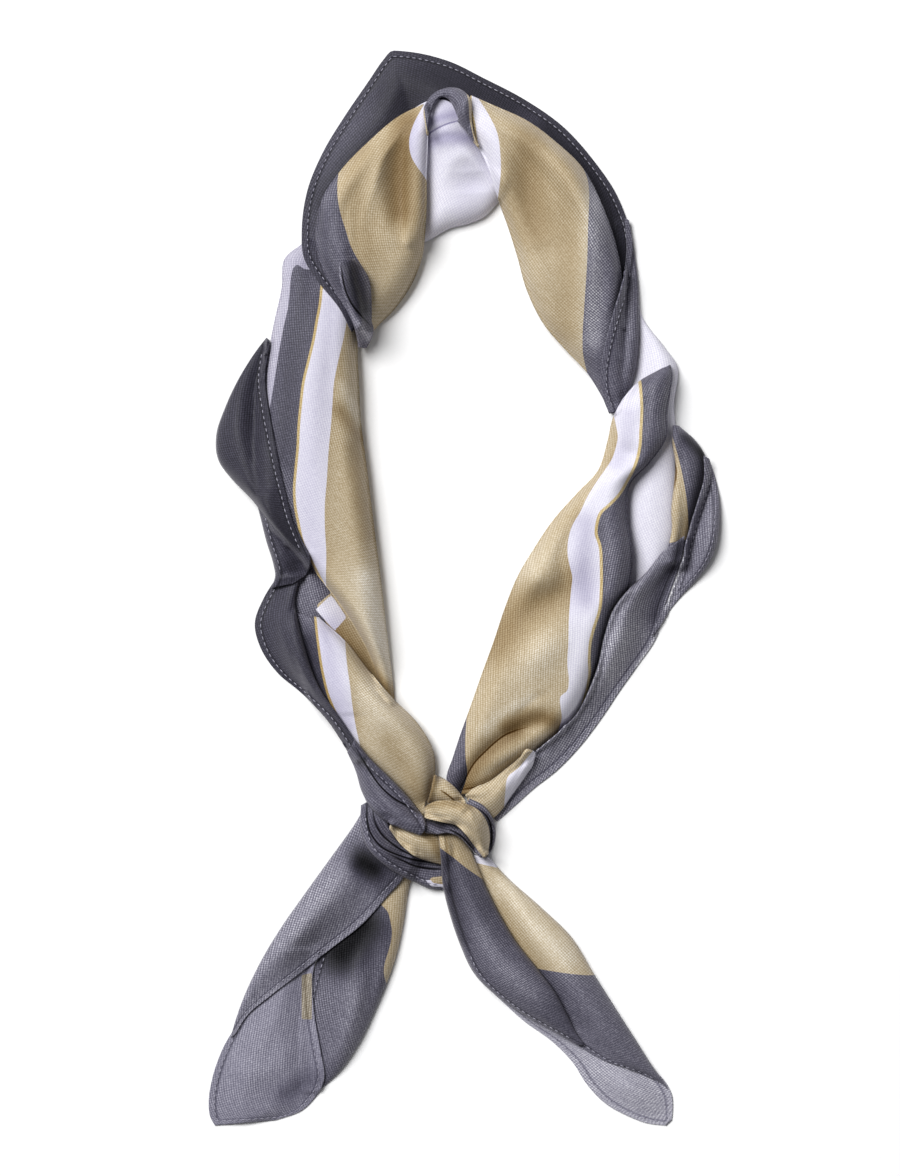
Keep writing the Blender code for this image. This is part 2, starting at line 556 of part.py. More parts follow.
class Ground:
    """Heights of what has been laid so far, on a grid of square cells seen from above."""

    def __init__(self):
        self.origin = np.array((-WIDTH / 2 - MAP_MARGIN, -LENGTH / 2 - MAP_MARGIN))
        size = (np.array((WIDTH, LENGTH)) + 2 * MAP_MARGIN) / MAP_CELL
        self.heights = np.full(np.ceil(size).astype(int) + 1, -LAYER_GAP)

    def near(self):
        """The highest height in each cell and the four beside it."""
        heights = self.heights
        padded = np.pad(heights, 1, mode="edge")
        beside = (padded[:-2, 1:-1], padded[2:, 1:-1], padded[1:-1, :-2], padded[1:-1, 2:])
        return np.maximum.reduce((heights, *beside))

    def soften(self, heights, reach):
        """The mean height within the reach of each cell, taken three times for a soft fall-off."""
        half = max(1, round(reach / MAP_CELL / 2))
        for _ in range(3):
            for axis in (0, 1):
                pad = [(0, 0), (0, 0)]
                pad[axis] = (half + 1, half)
                total = np.cumsum(np.pad(heights, pad, mode="edge"), axis=axis)
                ahead = np.take(total, range(2 * half + 1, total.shape[axis]), axis=axis)
                behind = np.take(total, range(total.shape[axis] - 2 * half - 1), axis=axis)
                heights = (ahead - behind) / (2 * half + 1)
        return heights

    def read(self, heights, x, y):
        """Heights between the cell centres nearest to each point."""
        u = (x - self.origin[0]) / MAP_CELL
        v = (y - self.origin[1]) / MAP_CELL
        i = np.clip(np.floor(u).astype(int), 0, heights.shape[0] - 2)
        j = np.clip(np.floor(v).astype(int), 0, heights.shape[1] - 2)
        u = np.clip(u - i, 0, 1)
        v = np.clip(v - j, 0, 1)
        near = heights[i, j] * (1 - v) + heights[i, j + 1] * v
        far = heights[i + 1, j] * (1 - v) + heights[i + 1, j + 1] * v
        return near * (1 - u) + far * u

    def lay(self, points, triangles):
        """Raises the heights to those of a finished piece."""
        corners = points[triangles]
        longest = np.abs(corners - np.roll(corners, 1, axis=1)).max()
        count = int(np.ceil(longest / SAMPLE_STEP))
        shares = [(i, j, count - i - j) for i in range(count + 1) for j in range(count + 1 - i)]
        weights = np.array(shares) / count
        samples = np.einsum("kc,tcd->tkd", weights, corners).reshape(-1, 3)
        cells = np.round((samples[:, :2] - self.origin) / MAP_CELL).astype(int)
        np.maximum.at(self.heights, (cells[:, 0], cells[:, 1]), samples[:, 2])


def split_weights(count):
    """Weights of a cell's four corners at sample places, for both ways to split it."""
    rows = []
    for s in np.linspace(0, 1, count + 1):
        for t in np.linspace(0, 1, count + 1):
            rows.append((1 - max(s, t), max(s - t, 0), min(s, t), max(t - s, 0)))
            rows.append((max(1 - s - t, 0), min(s, 1 - t), max(s + t - 1, 0), min(t, 1 - s)))
    return np.array(rows)


SPLITS = split_weights(CELL_SPLITS)


def cell_corners(grid):
    return np.stack((grid[:-1, :-1], grid[1:, :-1], grid[1:, 1:], grid[:-1, 1:]), axis=-1)


def shortfall(ground, floor, grids):
    """How far each sample place of the grids lies below the gap over the floor."""
    x, y, z = (np.einsum("ijc,kc->ijk", cell_corners(grid), SPLITS) for grid in grids)
    return ground.read(floor, x, y) + LAYER_GAP - z


def seat(ground, x, y, z, under):
    """Raises z where its underside is too low, eases the rise, then drops it till it touches."""
    floor = ground.near()
    share = SPLITS / (SPLITS**2).sum(axis=1, keepdims=True)
    first = z
    for _ in range(SEATING_ROUNDS):
        short = shortfall(ground, floor, under(x, y, z))
        if short.max() < TOUCHING:
            break
        lift = (np.clip(short, 0, None)[..., None] * share).max(axis=2)
        raised = np.zeros_like(z)
        raised[:-1, :-1] = lift[..., 0]
        raised[1:, :-1] = np.maximum(raised[1:, :-1], lift[..., 1])
        raised[1:, 1:] = np.maximum(raised[1:, 1:], lift[..., 2])
        raised[:-1, 1:] = np.maximum(raised[:-1, 1:], lift[..., 3])
        z = z + raised
    raised = z - first
    for _ in range(EASING_ROUNDS):
        padded = np.pad(raised, 1, mode="edge")
        beside = padded[:-2, 1:-1] + padded[2:, 1:-1] + padded[1:-1, :-2] + padded[1:-1, 2:]
        raised = np.maximum(raised, beside / 4)
    z = first + raised
    return z + shortfall(ground, floor, under(x, y, z)).max()


def grid_normals(x, y, z):
    along = np.stack([np.gradient(c, axis=0) for c in (x, y, z)], axis=-1)
    across = np.stack([np.gradient(c, axis=1) for c in (x, y, z)], axis=-1)
    normal = np.cross(across, along)
    normal /= np.linalg.norm(normal, axis=-1, keepdims=True)
    return normal * np.where(normal[..., 2:3] < 0, -1, 1)


def wall_under(x, y, z):
    """The underside of a single wall whose top is the grid."""
    normal = grid_normals(x, y, z)
    return tuple(c - CLOTH_WALL * normal[..., i] for i, c in enumerate((x, y, z)))


def same(x, y, z):
    return x, y, z


def settled_grid(piece, ground):
    """Grid of the piece seen from above, with what it settles to, its rise and its relief."""
    along = np.linspace(0, 1, piece.along + 1)
    across = across_shares(piece)
    left, right, loft, length = section_rows(piece, along)
    span = right - left
    width = np.hypot(*span.T)[:, None] * np.ones(len(across))
    x = left[:, 0:1] + span[:, 0:1] * across
    y = left[:, 1:2] + span[:, 1:2] * across
    grid_along = along[:, None] * np.ones(len(across))
    grid_across = np.ones(len(along))[:, None] * across
    ramp = side_ramp(grid_across * width, piece.left)
    ramp *= side_ramp((1 - grid_across) * width, piece.right)
    reached = ramp / max(ramp.max(), NARROW_RISE)
    floor = ground.near()
    cover = np.maximum(floor, ground.soften(floor, SETTLE))
    crest = np.maximum(cover, ground.soften(cover, SETTLE_CREST))
    edge = ground.read(floor, x, y) + LAYER_GAP
    under = edge + (ground.read(cover, x, y) + LAYER_GAP - edge) * ramp
    over = edge + (ground.read(crest, x, y) + LAYER_GAP - edge) * ramp
    relief = fold_relief(piece, grid_along, grid_across, length, width) * ramp
    return x, y, under, over, loft[:, None] * reached, relief


def sheet_grid(piece, ground):
    x, y, _, over, rise, relief = settled_grid(piece, ground)
    z = over + CLOTH_WALL + rise + relief
    return x, y, seat(ground, x, y, z, wall_under)


def sleeve_grids(piece, ground):
    """Upper and lower grids of a folded-over band, which share their two edges."""
    x, y, under, over, rise, relief = settled_grid(piece, ground)
    across = np.abs(2 * across_shares(piece) - 1)
    turned = np.clip((across - TURN_UP) / (1 - TURN_UP), 0, 1) ** 2
    edge = rise.max(axis=1, keepdims=True) * SEAM_HEIGHT
    low = seat(ground, x, y, under + edge * turned, same)
    high = np.maximum(over + rise + relief, low + edge * (1 - turned))
    least = (2 * CLOTH_WALL + SLEEVE_OPENING) * np.clip((1 - across) / TAPER, 0, 1)
    high = np.maximum(high, low + least)
    high[:, 0] = low[:, 0]
    high[:, -1] = low[:, -1]
    return x, y, high, low


def warped_grid(name, columns, rows, points):
    """A mesh grid whose vertices go to the points, in rows, and whose seams are welded."""
    shape = bmesh.new()
    bmesh.ops.create_grid(shape, x_segments=columns - 1, y_segments=rows - 1, size=0.5)
    shape.verts.ensure_lookup_table()
    for vertex, point in zip(shape.verts, points):
        vertex.co = point
    bmesh.ops.remove_doubles(shape, verts=shape.verts, dist=TOUCHING)
    bmesh.ops.recalc_face_normals(shape, faces=shape.faces)
    mesh = bpy.data.meshes.new(name)
    shape.to_mesh(mesh)
    shape.free()
    return mesh


def upward(mesh):
    """Turns an open sheet over if most of it faces down."""
    facing = sum(face.normal.z * face.area for face in mesh.polygons)
    if facing < 0:
        mesh.flip_normals()


def sheet_mesh(piece, ground):
    x, y, z = sheet_grid(piece, ground)
    points = np.stack((x, y, z), axis=-1).reshape(-1, 3)
    mesh = warped_grid(piece.name, x.shape[1], x.shape[0], points)
    upward(mesh)
    return mesh


def sleeve_mesh(piece, ground):
    x, y, high, low = sleeve_grids(piece, ground)
    over = np.stack((x, y, high), axis=-1)
    under = np.stack((x, y, low), axis=-1)[:, ::-1]
    ring = np.concatenate((over, under[:, 1:]), axis=1)
    return warped_grid(piece.name, ring.shape[1], ring.shape[0], ring.reshape(-1, 3))


def evaluated(item):
    """Points and triangles of the finished piece."""
    graph = bpy.context.evaluated_depsgraph_get()
    solid = item.evaluated_get(graph)
    mesh = solid.to_mesh()
    mesh.calc_loop_triangles()
    points = np.array([vertex.co[:] for vertex in mesh.vertices])
    triangles = np.array([triangle.vertices[:] for triangle in mesh.loop_triangles])
    solid.to_mesh_clear()
    return points, triangles


def make_piece(piece, ground, collection, materials):
    maker = sheet_mesh if piece.form == "sheet" else sleeve_mesh
    mesh = maker(piece, ground)
    mesh.shade_smooth()
    mesh.materials.append(materials[piece.colour])
    item = bpy.data.objects.new(piece.name, mesh)
    collection.objects.link(item)
    wall = item.modifiers.new("Cloth", "SOLIDIFY")
    wall.thickness = CLOTH_WALL
    wall.offset = -1.0
    bpy.context.view_layer.update()
    ground.lay(*evaluated(item))
    return item


def centre_on_origin(items):
    """Puts the bottom centre of the whole box on the origin."""
    points = np.concatenate([evaluated(item)[0] for item in items])
    low = points.min(axis=0)
    high = points.max(axis=0)
    shift = (-(low[0] + high[0]) / 2, -(low[1] + high[1]) / 2, -low[2])
    for item in items:
        item.data.transform(
            ((1, 0, 0, shift[0]), (0, 1, 0, shift[1]), (0, 0, 1, shift[2]), (0, 0, 0, 1))
        )


def main():
    clear_scene()
    collection = make_collection("neckerchief")
    materials = {
        SLATE: make_material("slate_silk", SLATE),
        GOLD: make_material("gold_silk", GOLD),
        PALE: make_material("pale_silk", PALE),
    }
    ground = Ground()
    items = [make_piece(piece, ground, collection, materials) for piece in PIECES]
    centre_on_origin(items)


main()
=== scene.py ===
"""The looks of a printed silk neckerchief, folded into a band, tied, and lying flat.

+Z is up, and +Y runs from the tips of the tails to the back of the neck. The cloth is made
fold by fold, from the lowest up, and each fold stands for the CAD node of its own name.
Print, creases and seams are lines in the same shares of the width and length as the outlines.
"""

from collections import namedtuple

import bmesh
import bpy
import numpy as np
from mathutils import Matrix, Vector
from mathutils.bvhtree import BVHTree


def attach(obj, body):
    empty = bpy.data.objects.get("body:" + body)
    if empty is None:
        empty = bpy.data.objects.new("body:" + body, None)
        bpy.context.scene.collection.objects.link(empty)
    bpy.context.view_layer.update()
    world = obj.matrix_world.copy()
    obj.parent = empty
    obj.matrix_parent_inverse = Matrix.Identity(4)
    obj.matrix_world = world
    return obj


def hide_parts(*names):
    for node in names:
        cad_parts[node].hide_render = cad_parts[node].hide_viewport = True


# Driving sizes, in metres
LENGTH = 0.408
WIDTH = 0.194
LOFT = 0.018
CLOTH_WALL = 0.0005
LAYER_GAP = 0.0003
FOLD_ROUNDING = 0.009
HEM_SLOPE = 0.016
SLEEVE_OPENING = 0.0018
# Across these distances a fold's lower and upper side even out the steps beneath it
SETTLE = 0.0060
SETTLE_CREST = 0.0120
# The cells of a broad fold's mesh and of a small one's
CELL = 0.00115
SMALL_CELL = 0.0008

# A narrow fold whose sides meet at this share of its height, or higher, is raised to all of it
NARROW_RISE = 0.6
# A sleeve's walls meet at this share of its height, and its underside turns up to there
# from this share of the way between its middle line and its edge
SEAM_HEIGHT = 0.36
TURN_UP = 0.55
# The hollow tapers shut over this share of the sleeve's half width
TAPER = 0.3
# A ridge or dent swells along its run as a half wave, with this share cut off at either end
FADE = 0.1
# Cells crowd to a fold's edges by this share
CROWDING = 0.45

# The map of heights, and how finely and how often a fold is tried against it
MAP_CELL = 0.0008
MAP_MARGIN = 0.012
SAMPLE_STEP = 0.6 * MAP_CELL
CELL_SPLITS = 2
SEATING_ROUNDS = 30
EASING_ROUNDS = 2
TOUCHING = 1e-6

# Places in the tables are hundredths of WIDTH and LENGTH, and small sizes are millimetres
HUNDREDTH = 0.01
MM = 0.001

# The stitches of the rolled hems: run, pitch, thickness, way in from the edge, how far their
# middles stand off the cloth, and how finely they are rounded
STITCH_RUN = 1.8 * MM
STITCH_PITCH = 2.4 * MM
STITCH_THICK = 0.38 * MM
HEM_INSET = 2.3 * MM
STITCH_LIFT = STITCH_THICK / 5
STITCH_SIDES = 6
STITCH_RINGS = 4
# Stitches are dropped onto the cloth from this height
DROP_HEIGHT = 1.0
# The roll stands this much higher, and falls off over the blend either way of the stitches.
# The groove where it meets the cloth is painted in shade this much deeper, this far in and this wide.
HEM_RISE = 0.35 * MM
HEM_BLEND = 0.5 * MM
GROOVE_SHADE = 0.45
GROOVE_INSET = HEM_INSET + 0.4 * MM
GROOVE_HALF = 0.8 * MM
# Further in than any hem reaches
NO_HEM = 9 * HEM_INSET
# A pleat steps up over this much
PLEAT_RAMP = 1.2 * MM
# A tuck closes over the first and last of this many parts of its run
TUCK_ENDS = 4
# A line of the tables is followed in steps of this
LINE_STEP = 1.5 * MM
# The least width that a fold's flat size gives
LEAST_FLAT = 10 * MM
# How many places a fold's width is read at, and the fewest cells along and across it
WIDTH_READINGS = 40
LEAST_ROWS = 8
LEAST_COLUMNS = 6

# Painted shade that a millimetre of dent adds to a colour; a millimetre of ridge paints as much light
DENT_SHADE = 0.06

# One fold of the cloth. It has a name, a form, the ink that it starts from, its node's finish,
# the cell of its mesh, how its left and right edges end, and these tables:
# outline: left edge across and up, right edge across and up, then the height of the cloth over
#     what lies under it, as a share of LOFT.
# creases: kind, height, reach and line. A soft one is a round ridge or dent, a sharp one is
#     pressed, a tuck is too narrow for light to reach its bottom, which is painted in shade, and a
#     pleat steps up on the left hand of its line. Height and reach are millimetres.
# prints: an ink, the width in millimetres of the rim of gold before it, and the line whose
#     left hand they cover. A line that ends where it starts is a filled patch.
# depth: painted shade over the whole fold, standing in for how it faces the light. More than
#     nought is painted darker, and less is painted lighter.
# lustres: the same painted shade along a line, painted light where less than nought,
#     its reach in millimetres, and the line.
# hems: the edge that a rolled hem runs along, and from which share of its length to which.
Piece = namedtuple(
    "Piece",
    "name form ink finish cell left right outline depth creases prints lustres hems",
    defaults=(0, (), (), (), ()),
)

# The folds from the lowest up
PIECES = (
    Piece("right_pale_fold", "sheet", "pale", "pale_silk", CELL, "hem", "fold", outline=(
        (80, 84, 81.8, 84, 0.12),
        (80.6, 81.2, 82.9, 81.2, 0.18),
        (81, 79, 83.7, 79, 0.22),
        (82, 75.4, 84.9, 75.2, 0.28),
        (82.5, 72.6, 89.2, 72.4, 0.32),
        (82, 70, 91.7, 70.6, 0.34),
        (81, 67.2, 91.1, 67.2, 0.34),
        (79.5, 63, 91.6, 64.2, 0.34),
        (79, 59, 92, 60, 0.34),
        (79, 55, 92, 56, 0.32),
        (80.5, 51.6, 90, 52.6, 0.28),
        (82, 49.4, 86, 49.8, 0.2),
    )),
    Piece("left_under_fold", "sheet", "slate", "pale_silk", CELL, "hem", "hem", outline=(
        (15, 53.2, 23, 53.2, 0.16),
        (14, 50.4, 26.5, 50.4, 0.24),
        (14, 47.6, 30.5, 47.6, 0.28),
        (15.5, 44.4, 33.5, 44.4, 0.28),
        (18.5, 41.4, 34.5, 41.4, 0.24),
        (23, 38.6, 33.5, 38.6, 0.16),
    ), prints=(
        ("gold", 0, ((20.4, 48.1), (25.5, 44.6), (33, 38), (37, 40), (34, 47), (25, 50),
            (20.4, 48.1))),
        ("pale", 0, ((21, 48), (24.7, 46), (27, 47.3), (24, 49.4), (21, 48))),
    ), lustres=(
        (1.1, 6, ((24, 46), (29, 43), (34, 39))),
    )),
    # Its outer strip starts from the pale ink painted in shade
    Piece("left_band", "sleeve", "pale_in_painted_shade", "gold_silk", CELL, "fold", "fold", outline=(
        (18.2, 82, 31, 81, 0.16),
        (15, 80.7, 30.4, 78.6, 0.44),
        (14.3, 77.8, 29.7, 75.6, 0.68),
        (12.8, 74.5, 29.2, 72.6, 0.84),
        (11.3, 70.5, 29.5, 69, 0.88),
        (10, 66, 29.9, 65.4, 0.88),
        (10, 61, 31.1, 61, 0.86),
        (12.4, 56, 32.5, 55.5, 0.84),
        (20, 52, 33.9, 50.3, 0.8),
        (26.6, 47.8, 34.9, 46, 0.7),
        (31.2, 44, 35.8, 42.3, 0.52),
        (33.4, 41, 36.4, 39.4, 0.34),
    ), creases=(
        ("sharp", -1.2, 2, ((25.6, 66.9), (27, 65.9), (29.2, 64.8))),
        ("soft", -1.2, 3, ((29, 64), (29.2, 60.5))),
        ("soft", 1.6, 5, ((26.6, 51.5), (29.5, 48.4), (32.2, 45.6), (34.2, 43.2))),
        ("soft", -2.8, 4, ((26, 48.5), (29, 45), (31, 43.5), (34, 42), (36, 40.5))),
        ("soft", 1.6, 6, ((22.5, 78), (21, 71), (20.8, 63), (23, 55))),
        ("soft", -1.2, 4, ((16.4, 76), (14.2, 70), (13.4, 64))),
    ), prints=(
        ("slate", 0, ((24, 79.5), (20, 79.5), (18.6, 79.6), (17.5, 80), (16.7, 79.7),
            (16.3, 79), (16, 77.5), (15.7, 76), (15, 74.5), (14, 72), (13, 69), (12.3, 67),
            (11.6, 65))),
        ("pale", 1, ((22, 78), (21.6, 76), (21.2, 75), (20.5, 73), (19.5, 71), (18.5, 69),
            (18, 67), (17.6, 65), (17.4, 63), (17, 61), (16.7, 59), (16.9, 57.5), (17.5, 56),
            (18.5, 54), (20, 52.5))),
        ("gold", 0, ((27, 74.3), (26.5, 73), (26, 72), (25.3, 70.5), (24.7, 69), (24.4, 67),
            (24.1, 65), (23.7, 63), (23.3, 60), (22.9, 57.5), (22.9, 56), (23.2, 53), (23.1, 51))),
    ), lustres=(
        (0.3, 5, ((19, 79.8), (18, 75), (16, 69), (14.4, 62))),
        (0.5, 6, ((24, 76), (23, 72), (21.5, 67), (20.6, 62), (20, 57), (21, 52.5))),
        (-0.5, 5, ((31, 51), (33.6, 46), (35.8, 42))),
        (0.45, 2.5, ((25.6, 66.4), (28, 64.9), (30, 64))),
        (-0.3, 2.5, ((26.2, 68.6), (28.4, 66.8), (29.8, 65.4))),
        (0.3, 4, ((28.6, 63), (29.4, 59), (31, 55))),
        (1, 2, ((28, 45.2), (31.6, 42.6), (35, 40.6), (36.4, 39.6))),
    )),
    Piece("corner_flap", "sheet", "slate", "slate_silk", CELL, "hem", "hem", outline=(
        (28.2, 73.7, 29.4, 74.4, 0.06),
        (25.6, 76, 28.4, 76.9, 0.12),
        (21.4, 78.5, 27.2, 79.3, 0.16),
        (18.7, 80.7, 27, 81.6, 0.2),
        (18.2, 83.4, 28, 83.8, 0.26),
        (19.3, 87, 30, 85.8, 0.3),
        (22.4, 90.6, 33, 87.6, 0.32),
        (26.6, 93.9, 36, 89.2, 0.32),
        (31.2, 97.1, 39, 90.2, 0.3),
        (34.4, 99.3, 41, 90.6, 0.24),
        (35.5, 99.9, 41.7, 90.6, 0.2),
        (35.9, 100, 42, 90.6, 0.18),
        (36.6, 100, 42.4, 90.6, 0.2),
        (40, 99.85, 44, 90.5, 0.26),
        (46.5, 99.1, 48, 90.2, 0.32),
        (54, 97.4, 54, 89.5, 0.36),
        (62, 95.4, 60, 88, 0.38),
        (69.4, 92.9, 65.5, 86, 0.38),
        (75.6, 89.6, 69.5, 83.5, 0.38),
        (80, 86.4, 73, 81, 0.36),
        (82.1, 83.6, 75.5, 79, 0.32),
        (82.3, 81, 77, 77, 0.24),
        (81, 78.6, 77.5, 75.5, 0.16),
    ), creases=(
        ("soft", -1, 5, ((42, 95), (34, 93), (30, 91), (26, 89), (22, 87), (20.5, 85))),
        ("soft", -1.8, 5, ((66, 93), (70, 91), (74, 89), (76.5, 87), (79, 85), (80.5, 80))),
        ("soft", 0.8, 5, ((38, 97.4), (30, 93.8), (26, 91.6), (22.5, 89.3), (20, 85))),
    ), lustres=(
        (0.4, 9, ((36, 95.6), (42, 97), (50, 96.2), (58, 94.6))),
        (-0.15, 6, ((32, 96), (27, 92.5), (23, 89.5))),
        (0.35, 4, ((40, 94), (34, 92), (28, 89.5), (23, 86))),
        (0.45, 4, ((66, 92.4), (72, 89.6), (77, 85.6), (80, 81))),
    ), hems=(
        ("left", 0.02, 0.98),
    ), depth=0.5),
    Piece("inner_panel", "sheet", "pale", "pale_silk", SMALL_CELL, "fold", "hem", outline=(
        (39, 81.6, 39, 94.2, 0.24),
        (43, 82.3, 43, 95.2, 0.34),
        (47, 83.4, 46.6, 95.2, 0.4),
        (51, 83.9, 50, 94, 0.4),
        (54.4, 84.7, 54, 92, 0.34),
        (58.6, 87, 58, 90.6, 0.22),
    ), creases=(
        ("pleat", 0.9, 3, ((42, 91.8), (44.5, 92.5), (46.5, 92.95), (50, 93.5))),
        ("tuck", -0.5, 1, ((41.6, 91.5), (43, 92.05), (44.5, 92.5), (46.5, 92.95), (48.8, 93.3),
            (50.2, 93.5))),
        ("sharp", -0.6, 1.2, ((42, 91.2), (46, 91.8), (50, 91.95))),
        ("sharp", -0.4, 1.2, ((43, 94.1), (48, 94.3))),
        ("soft", -1.3, 6, ((51.2, 88.6), (51.4, 86.6))),
        ("soft", 0.8, 3, ((46.4, 88), (47.4, 89.4), (50, 90.1), (53, 89.4), (55, 88))),
    ), lustres=(
        (1.6, 3, ((41, 91.2), (46, 91.7), (52, 91.7))),
        (0.6, 4, ((45, 95), (48, 95))),
        (1.5, 2.4, ((42, 93), (46, 93.6), (50, 94))),
        (0.25, 6, ((51.2, 88.6), (50.6, 85))),
    )),
    Piece("left_leaf", "sleeve", "slate", "gold_silk", CELL, "fold", "fold", outline=(
        (42, 94.9, 43, 93.2, 0.24),
        (37.4, 93.8, 42.9, 90.8, 0.4),
        (31.6, 91.5, 42.7, 88.2, 0.56),
        (26.4, 89, 42.7, 85.6, 0.66),
        (22.4, 86.2, 42.4, 82.8, 0.7),
        (21, 83, 41.6, 80.4, 0.68),
        (21.9, 80.2, 39.4, 77.9, 0.58),
        (24.4, 77.7, 36.2, 75.8, 0.44),
        (27.4, 75.4, 33.2, 74.4, 0.3),
        (29.4, 73.2, 31.8, 73.6, 0.22),
    ), creases=(
        ("sharp", 1.8, 2.6, ((39, 93.6), (37, 91.8), (34.5, 90), (33, 88), (31.5, 85.5),
            (30.2, 83.5))),
        ("soft", -4.5, 6, ((38.5, 93), (37.5, 90), (37.5, 86.5), (37.5, 82))),
        ("soft", 1.6, 4.5, ((33, 89.5), (33.4, 86.5), (35, 84), (36, 81))),
        ("sharp", -0.6, 1, ((25, 87), (24.4, 83.5), (25.6, 80))),
        ("sharp", -0.5, 1, ((27.3, 86.5), (26.7, 83), (27.8, 79.5))),
        ("sharp", -0.5, 1, ((29.4, 85.5), (29, 82.5), (30, 79.5))),
    ), prints=(
        ("gold", 0, ((25.5, 88.8), (25.3, 87), (25.4, 86), (26, 84.5), (27, 83), (28, 81.5),
            (29.5, 80.2), (31, 79), (31.7, 77.5), (32, 75.5), (31.9, 74.3))),
        ("pale", 0, ((41.8, 94.5), (40.2, 93), (39.3, 91.5), (39.6, 90), (41, 88.8), (42.3, 88),
            (43.4, 87))),
    ), lustres=(
        (0.9, 6, ((39, 93), (37.8, 89.5), (37.6, 85))),
        (0.3, 7, ((30, 90), (29, 86), (31, 81))),
        (0.3, 3, ((21.4, 85), (23, 80.6), (26, 78))),
    )),
    Piece("right_leaf", "sleeve", "slate", "gold_silk", CELL, "fold", "fold", outline=(
        (48.6, 93.2, 51.3, 95.7, 0.26),
        (51.4, 91.7, 56, 94.7, 0.42),
        (54, 89.6, 62, 93.4, 0.56),
        (56.2, 86.5, 68, 91.3, 0.7),
        (58.3, 83.8, 73, 89, 0.78),
        (60.3, 80.8, 77.3, 85, 0.8),
        (62.3, 77.5, 80, 81, 0.78),
        (65.5, 74.5, 81, 77.5, 0.7),
        (70, 72, 80.6, 74, 0.6),
        (74, 70, 80.2, 71, 0.48),
        (76.7, 68, 80.2, 68.2, 0.36),
        (78.7, 66.2, 79.9, 66.4, 0.24),
    ), creases=(
        ("soft", -4, 8, ((64, 91.4), (62.5, 88.5), (62.5, 85), (65, 82))),
        ("soft", 2.2, 5.5, ((71, 89.5), (73.4, 84), (73.4, 78), (73, 72))),
        ("soft", 1.3, 4, ((59, 86.8), (61, 82), (64, 77.8))),
        ("soft", -1.8, 4, ((76.6, 86), (77.4, 80), (76.6, 74))),
    ), prints=(
        ("pale", 0.8, ((51, 95.8), (51.2, 94), (51.7, 93), (52, 91.8), (52.8, 90))),
        ("gold", 0, ((53, 95.2), (55, 93.5), (56.4, 92), (57, 90), (57.1, 88.5), (56.8, 87),
            (56.5, 86))),
        ("slate", 0, ((72.8, 89.3), (73.9, 88), (74.2, 86.5), (74, 84), (73.8, 80), (73.3, 76),
            (73, 73), (73.1, 71.8), (74, 70))),
    ), lustres=(
        (0.4, 7, ((62, 91), (62.4, 87), (64, 83))),
        (0.25, 6, ((70, 89), (70.6, 80), (70, 74))),
        (-0.45, 4.5, ((75.4, 86), (75.6, 79), (75, 73))),
    )),
    Piece("arch_fold", "sleeve", "slate", "slate_silk", SMALL_CELL, "fold", "fold", outline=(
        (42.75, 91.8, 42.95, 92, 0.08),
        (42.3, 93, 43.1, 93.1, 0.2),
        (42.05, 94.2, 43.7, 94.1, 0.3),
        (42.8, 95.2, 44.3, 94.9, 0.36),
        (44.2, 95.95, 45.1, 95.4, 0.4),
        (46.1, 96.35, 46, 95.5, 0.42),
        (48.3, 96.4, 47.1, 95.2, 0.42),
        (50.2, 95.95, 48, 94.4, 0.42),
        (51.3, 95, 48.7, 93.5, 0.4),
        (51.4, 93.6, 49.6, 92.7, 0.34),
        (51.9, 92, 51.1, 91.7, 0.22),
        (52.7, 90.8, 52.6, 90.9, 0.04),
    ), prints=(
        ("gold", 0, ((50.2, 96.2), (50.7, 95.2), (50.9, 94.4), (50.95, 93.5), (51.3, 92.6),
            (51.7, 91.8))),
        ("gold", 0, ((43, 91.9), (42.6, 92.8), (42.35, 93.6), (42.1, 94.7))),
    )),
    Piece("left_pinch_fold", "sleeve", "slate", "slate_silk", SMALL_CELL, "fold", "fold", outline=(
        (25.7, 79.9, 28.6, 80.4, 0.22),
        (25.9, 78.4, 31.2, 78.9, 0.32),
        (26.9, 76.7, 32, 76.6, 0.38),
        (28.1, 75, 31.9, 74.9, 0.38),
        (29, 73.4, 32.3, 73.7, 0.32),
        (29.4, 72.3, 30.8, 72.4, 0.22),
    ), creases=(
        ("tuck", -1.7, 1.8, ((26.1, 80), (26.5, 78.4), (27.3, 77), (28.4, 76), (30, 75.1),
            (32.2, 74.1))),
        ("soft", 1, 2, ((26.4, 77), (28.4, 75), (31.4, 73.2))),
        ("soft", -2.2, 3, ((28.6, 79.4), (29.3, 77.6), (30.4, 76))),
    ), prints=(
        ("reverse", 0, ((34, 74.2), (31.9, 73.7), (30.2, 73.8), (28, 73.6))),
    ), lustres=(
        (0.95, 3, ((28.4, 79.4), (29, 77.6), (30.4, 75.8))),
        (-0.5, 1.6, ((25.6, 79.6), (26.4, 77), (28.4, 75), (31.4, 73.2))),
        (-0.3, 1.6, ((30.8, 79.2), (31.9, 77), (32, 75))),
    ), depth=0.2),
    Piece("right_turned_hem", "sheet", "slate", "slate_silk", SMALL_CELL, "hem", "fold", outline=(
        (81.4, 84.4, 82.2, 84.2, 0.1),
        (81.8, 81.6, 83.1, 81.6, 0.14),
        (81, 78.5, 83.9, 78.7, 0.18),
        (79, 75.3, 84.2, 75.5, 0.22),
        (77.3, 72.3, 84, 72.3, 0.24),
        (76.5, 69.7, 83.2, 69.8, 0.22),
        (77, 67.8, 81.5, 67.8, 0.18),
        (78.3, 66.2, 79.8, 66.4, 0.12),
    ), hems=(
        ("left", 0.02, 0.98),
    )),
    Piece("right_band", "sleeve", "gold", "gold_silk", CELL, "fold", "fold", outline=(
        (88.2, 70.3, 90.3, 70.7, 0.28),
        (84.7, 69.4, 90.6, 69.8, 0.4),
        (81.5, 67.9, 90.2, 68.2, 0.48),
        (79.1, 65.9, 89.6, 66.2, 0.52),
        (78, 63.7, 89.4, 64, 0.54),
        (76.2, 61, 86.3, 61.7, 0.56),
        (72, 58.8, 82.4, 59.6, 0.66),
        (67.5, 56.4, 81.8, 56.6, 0.76),
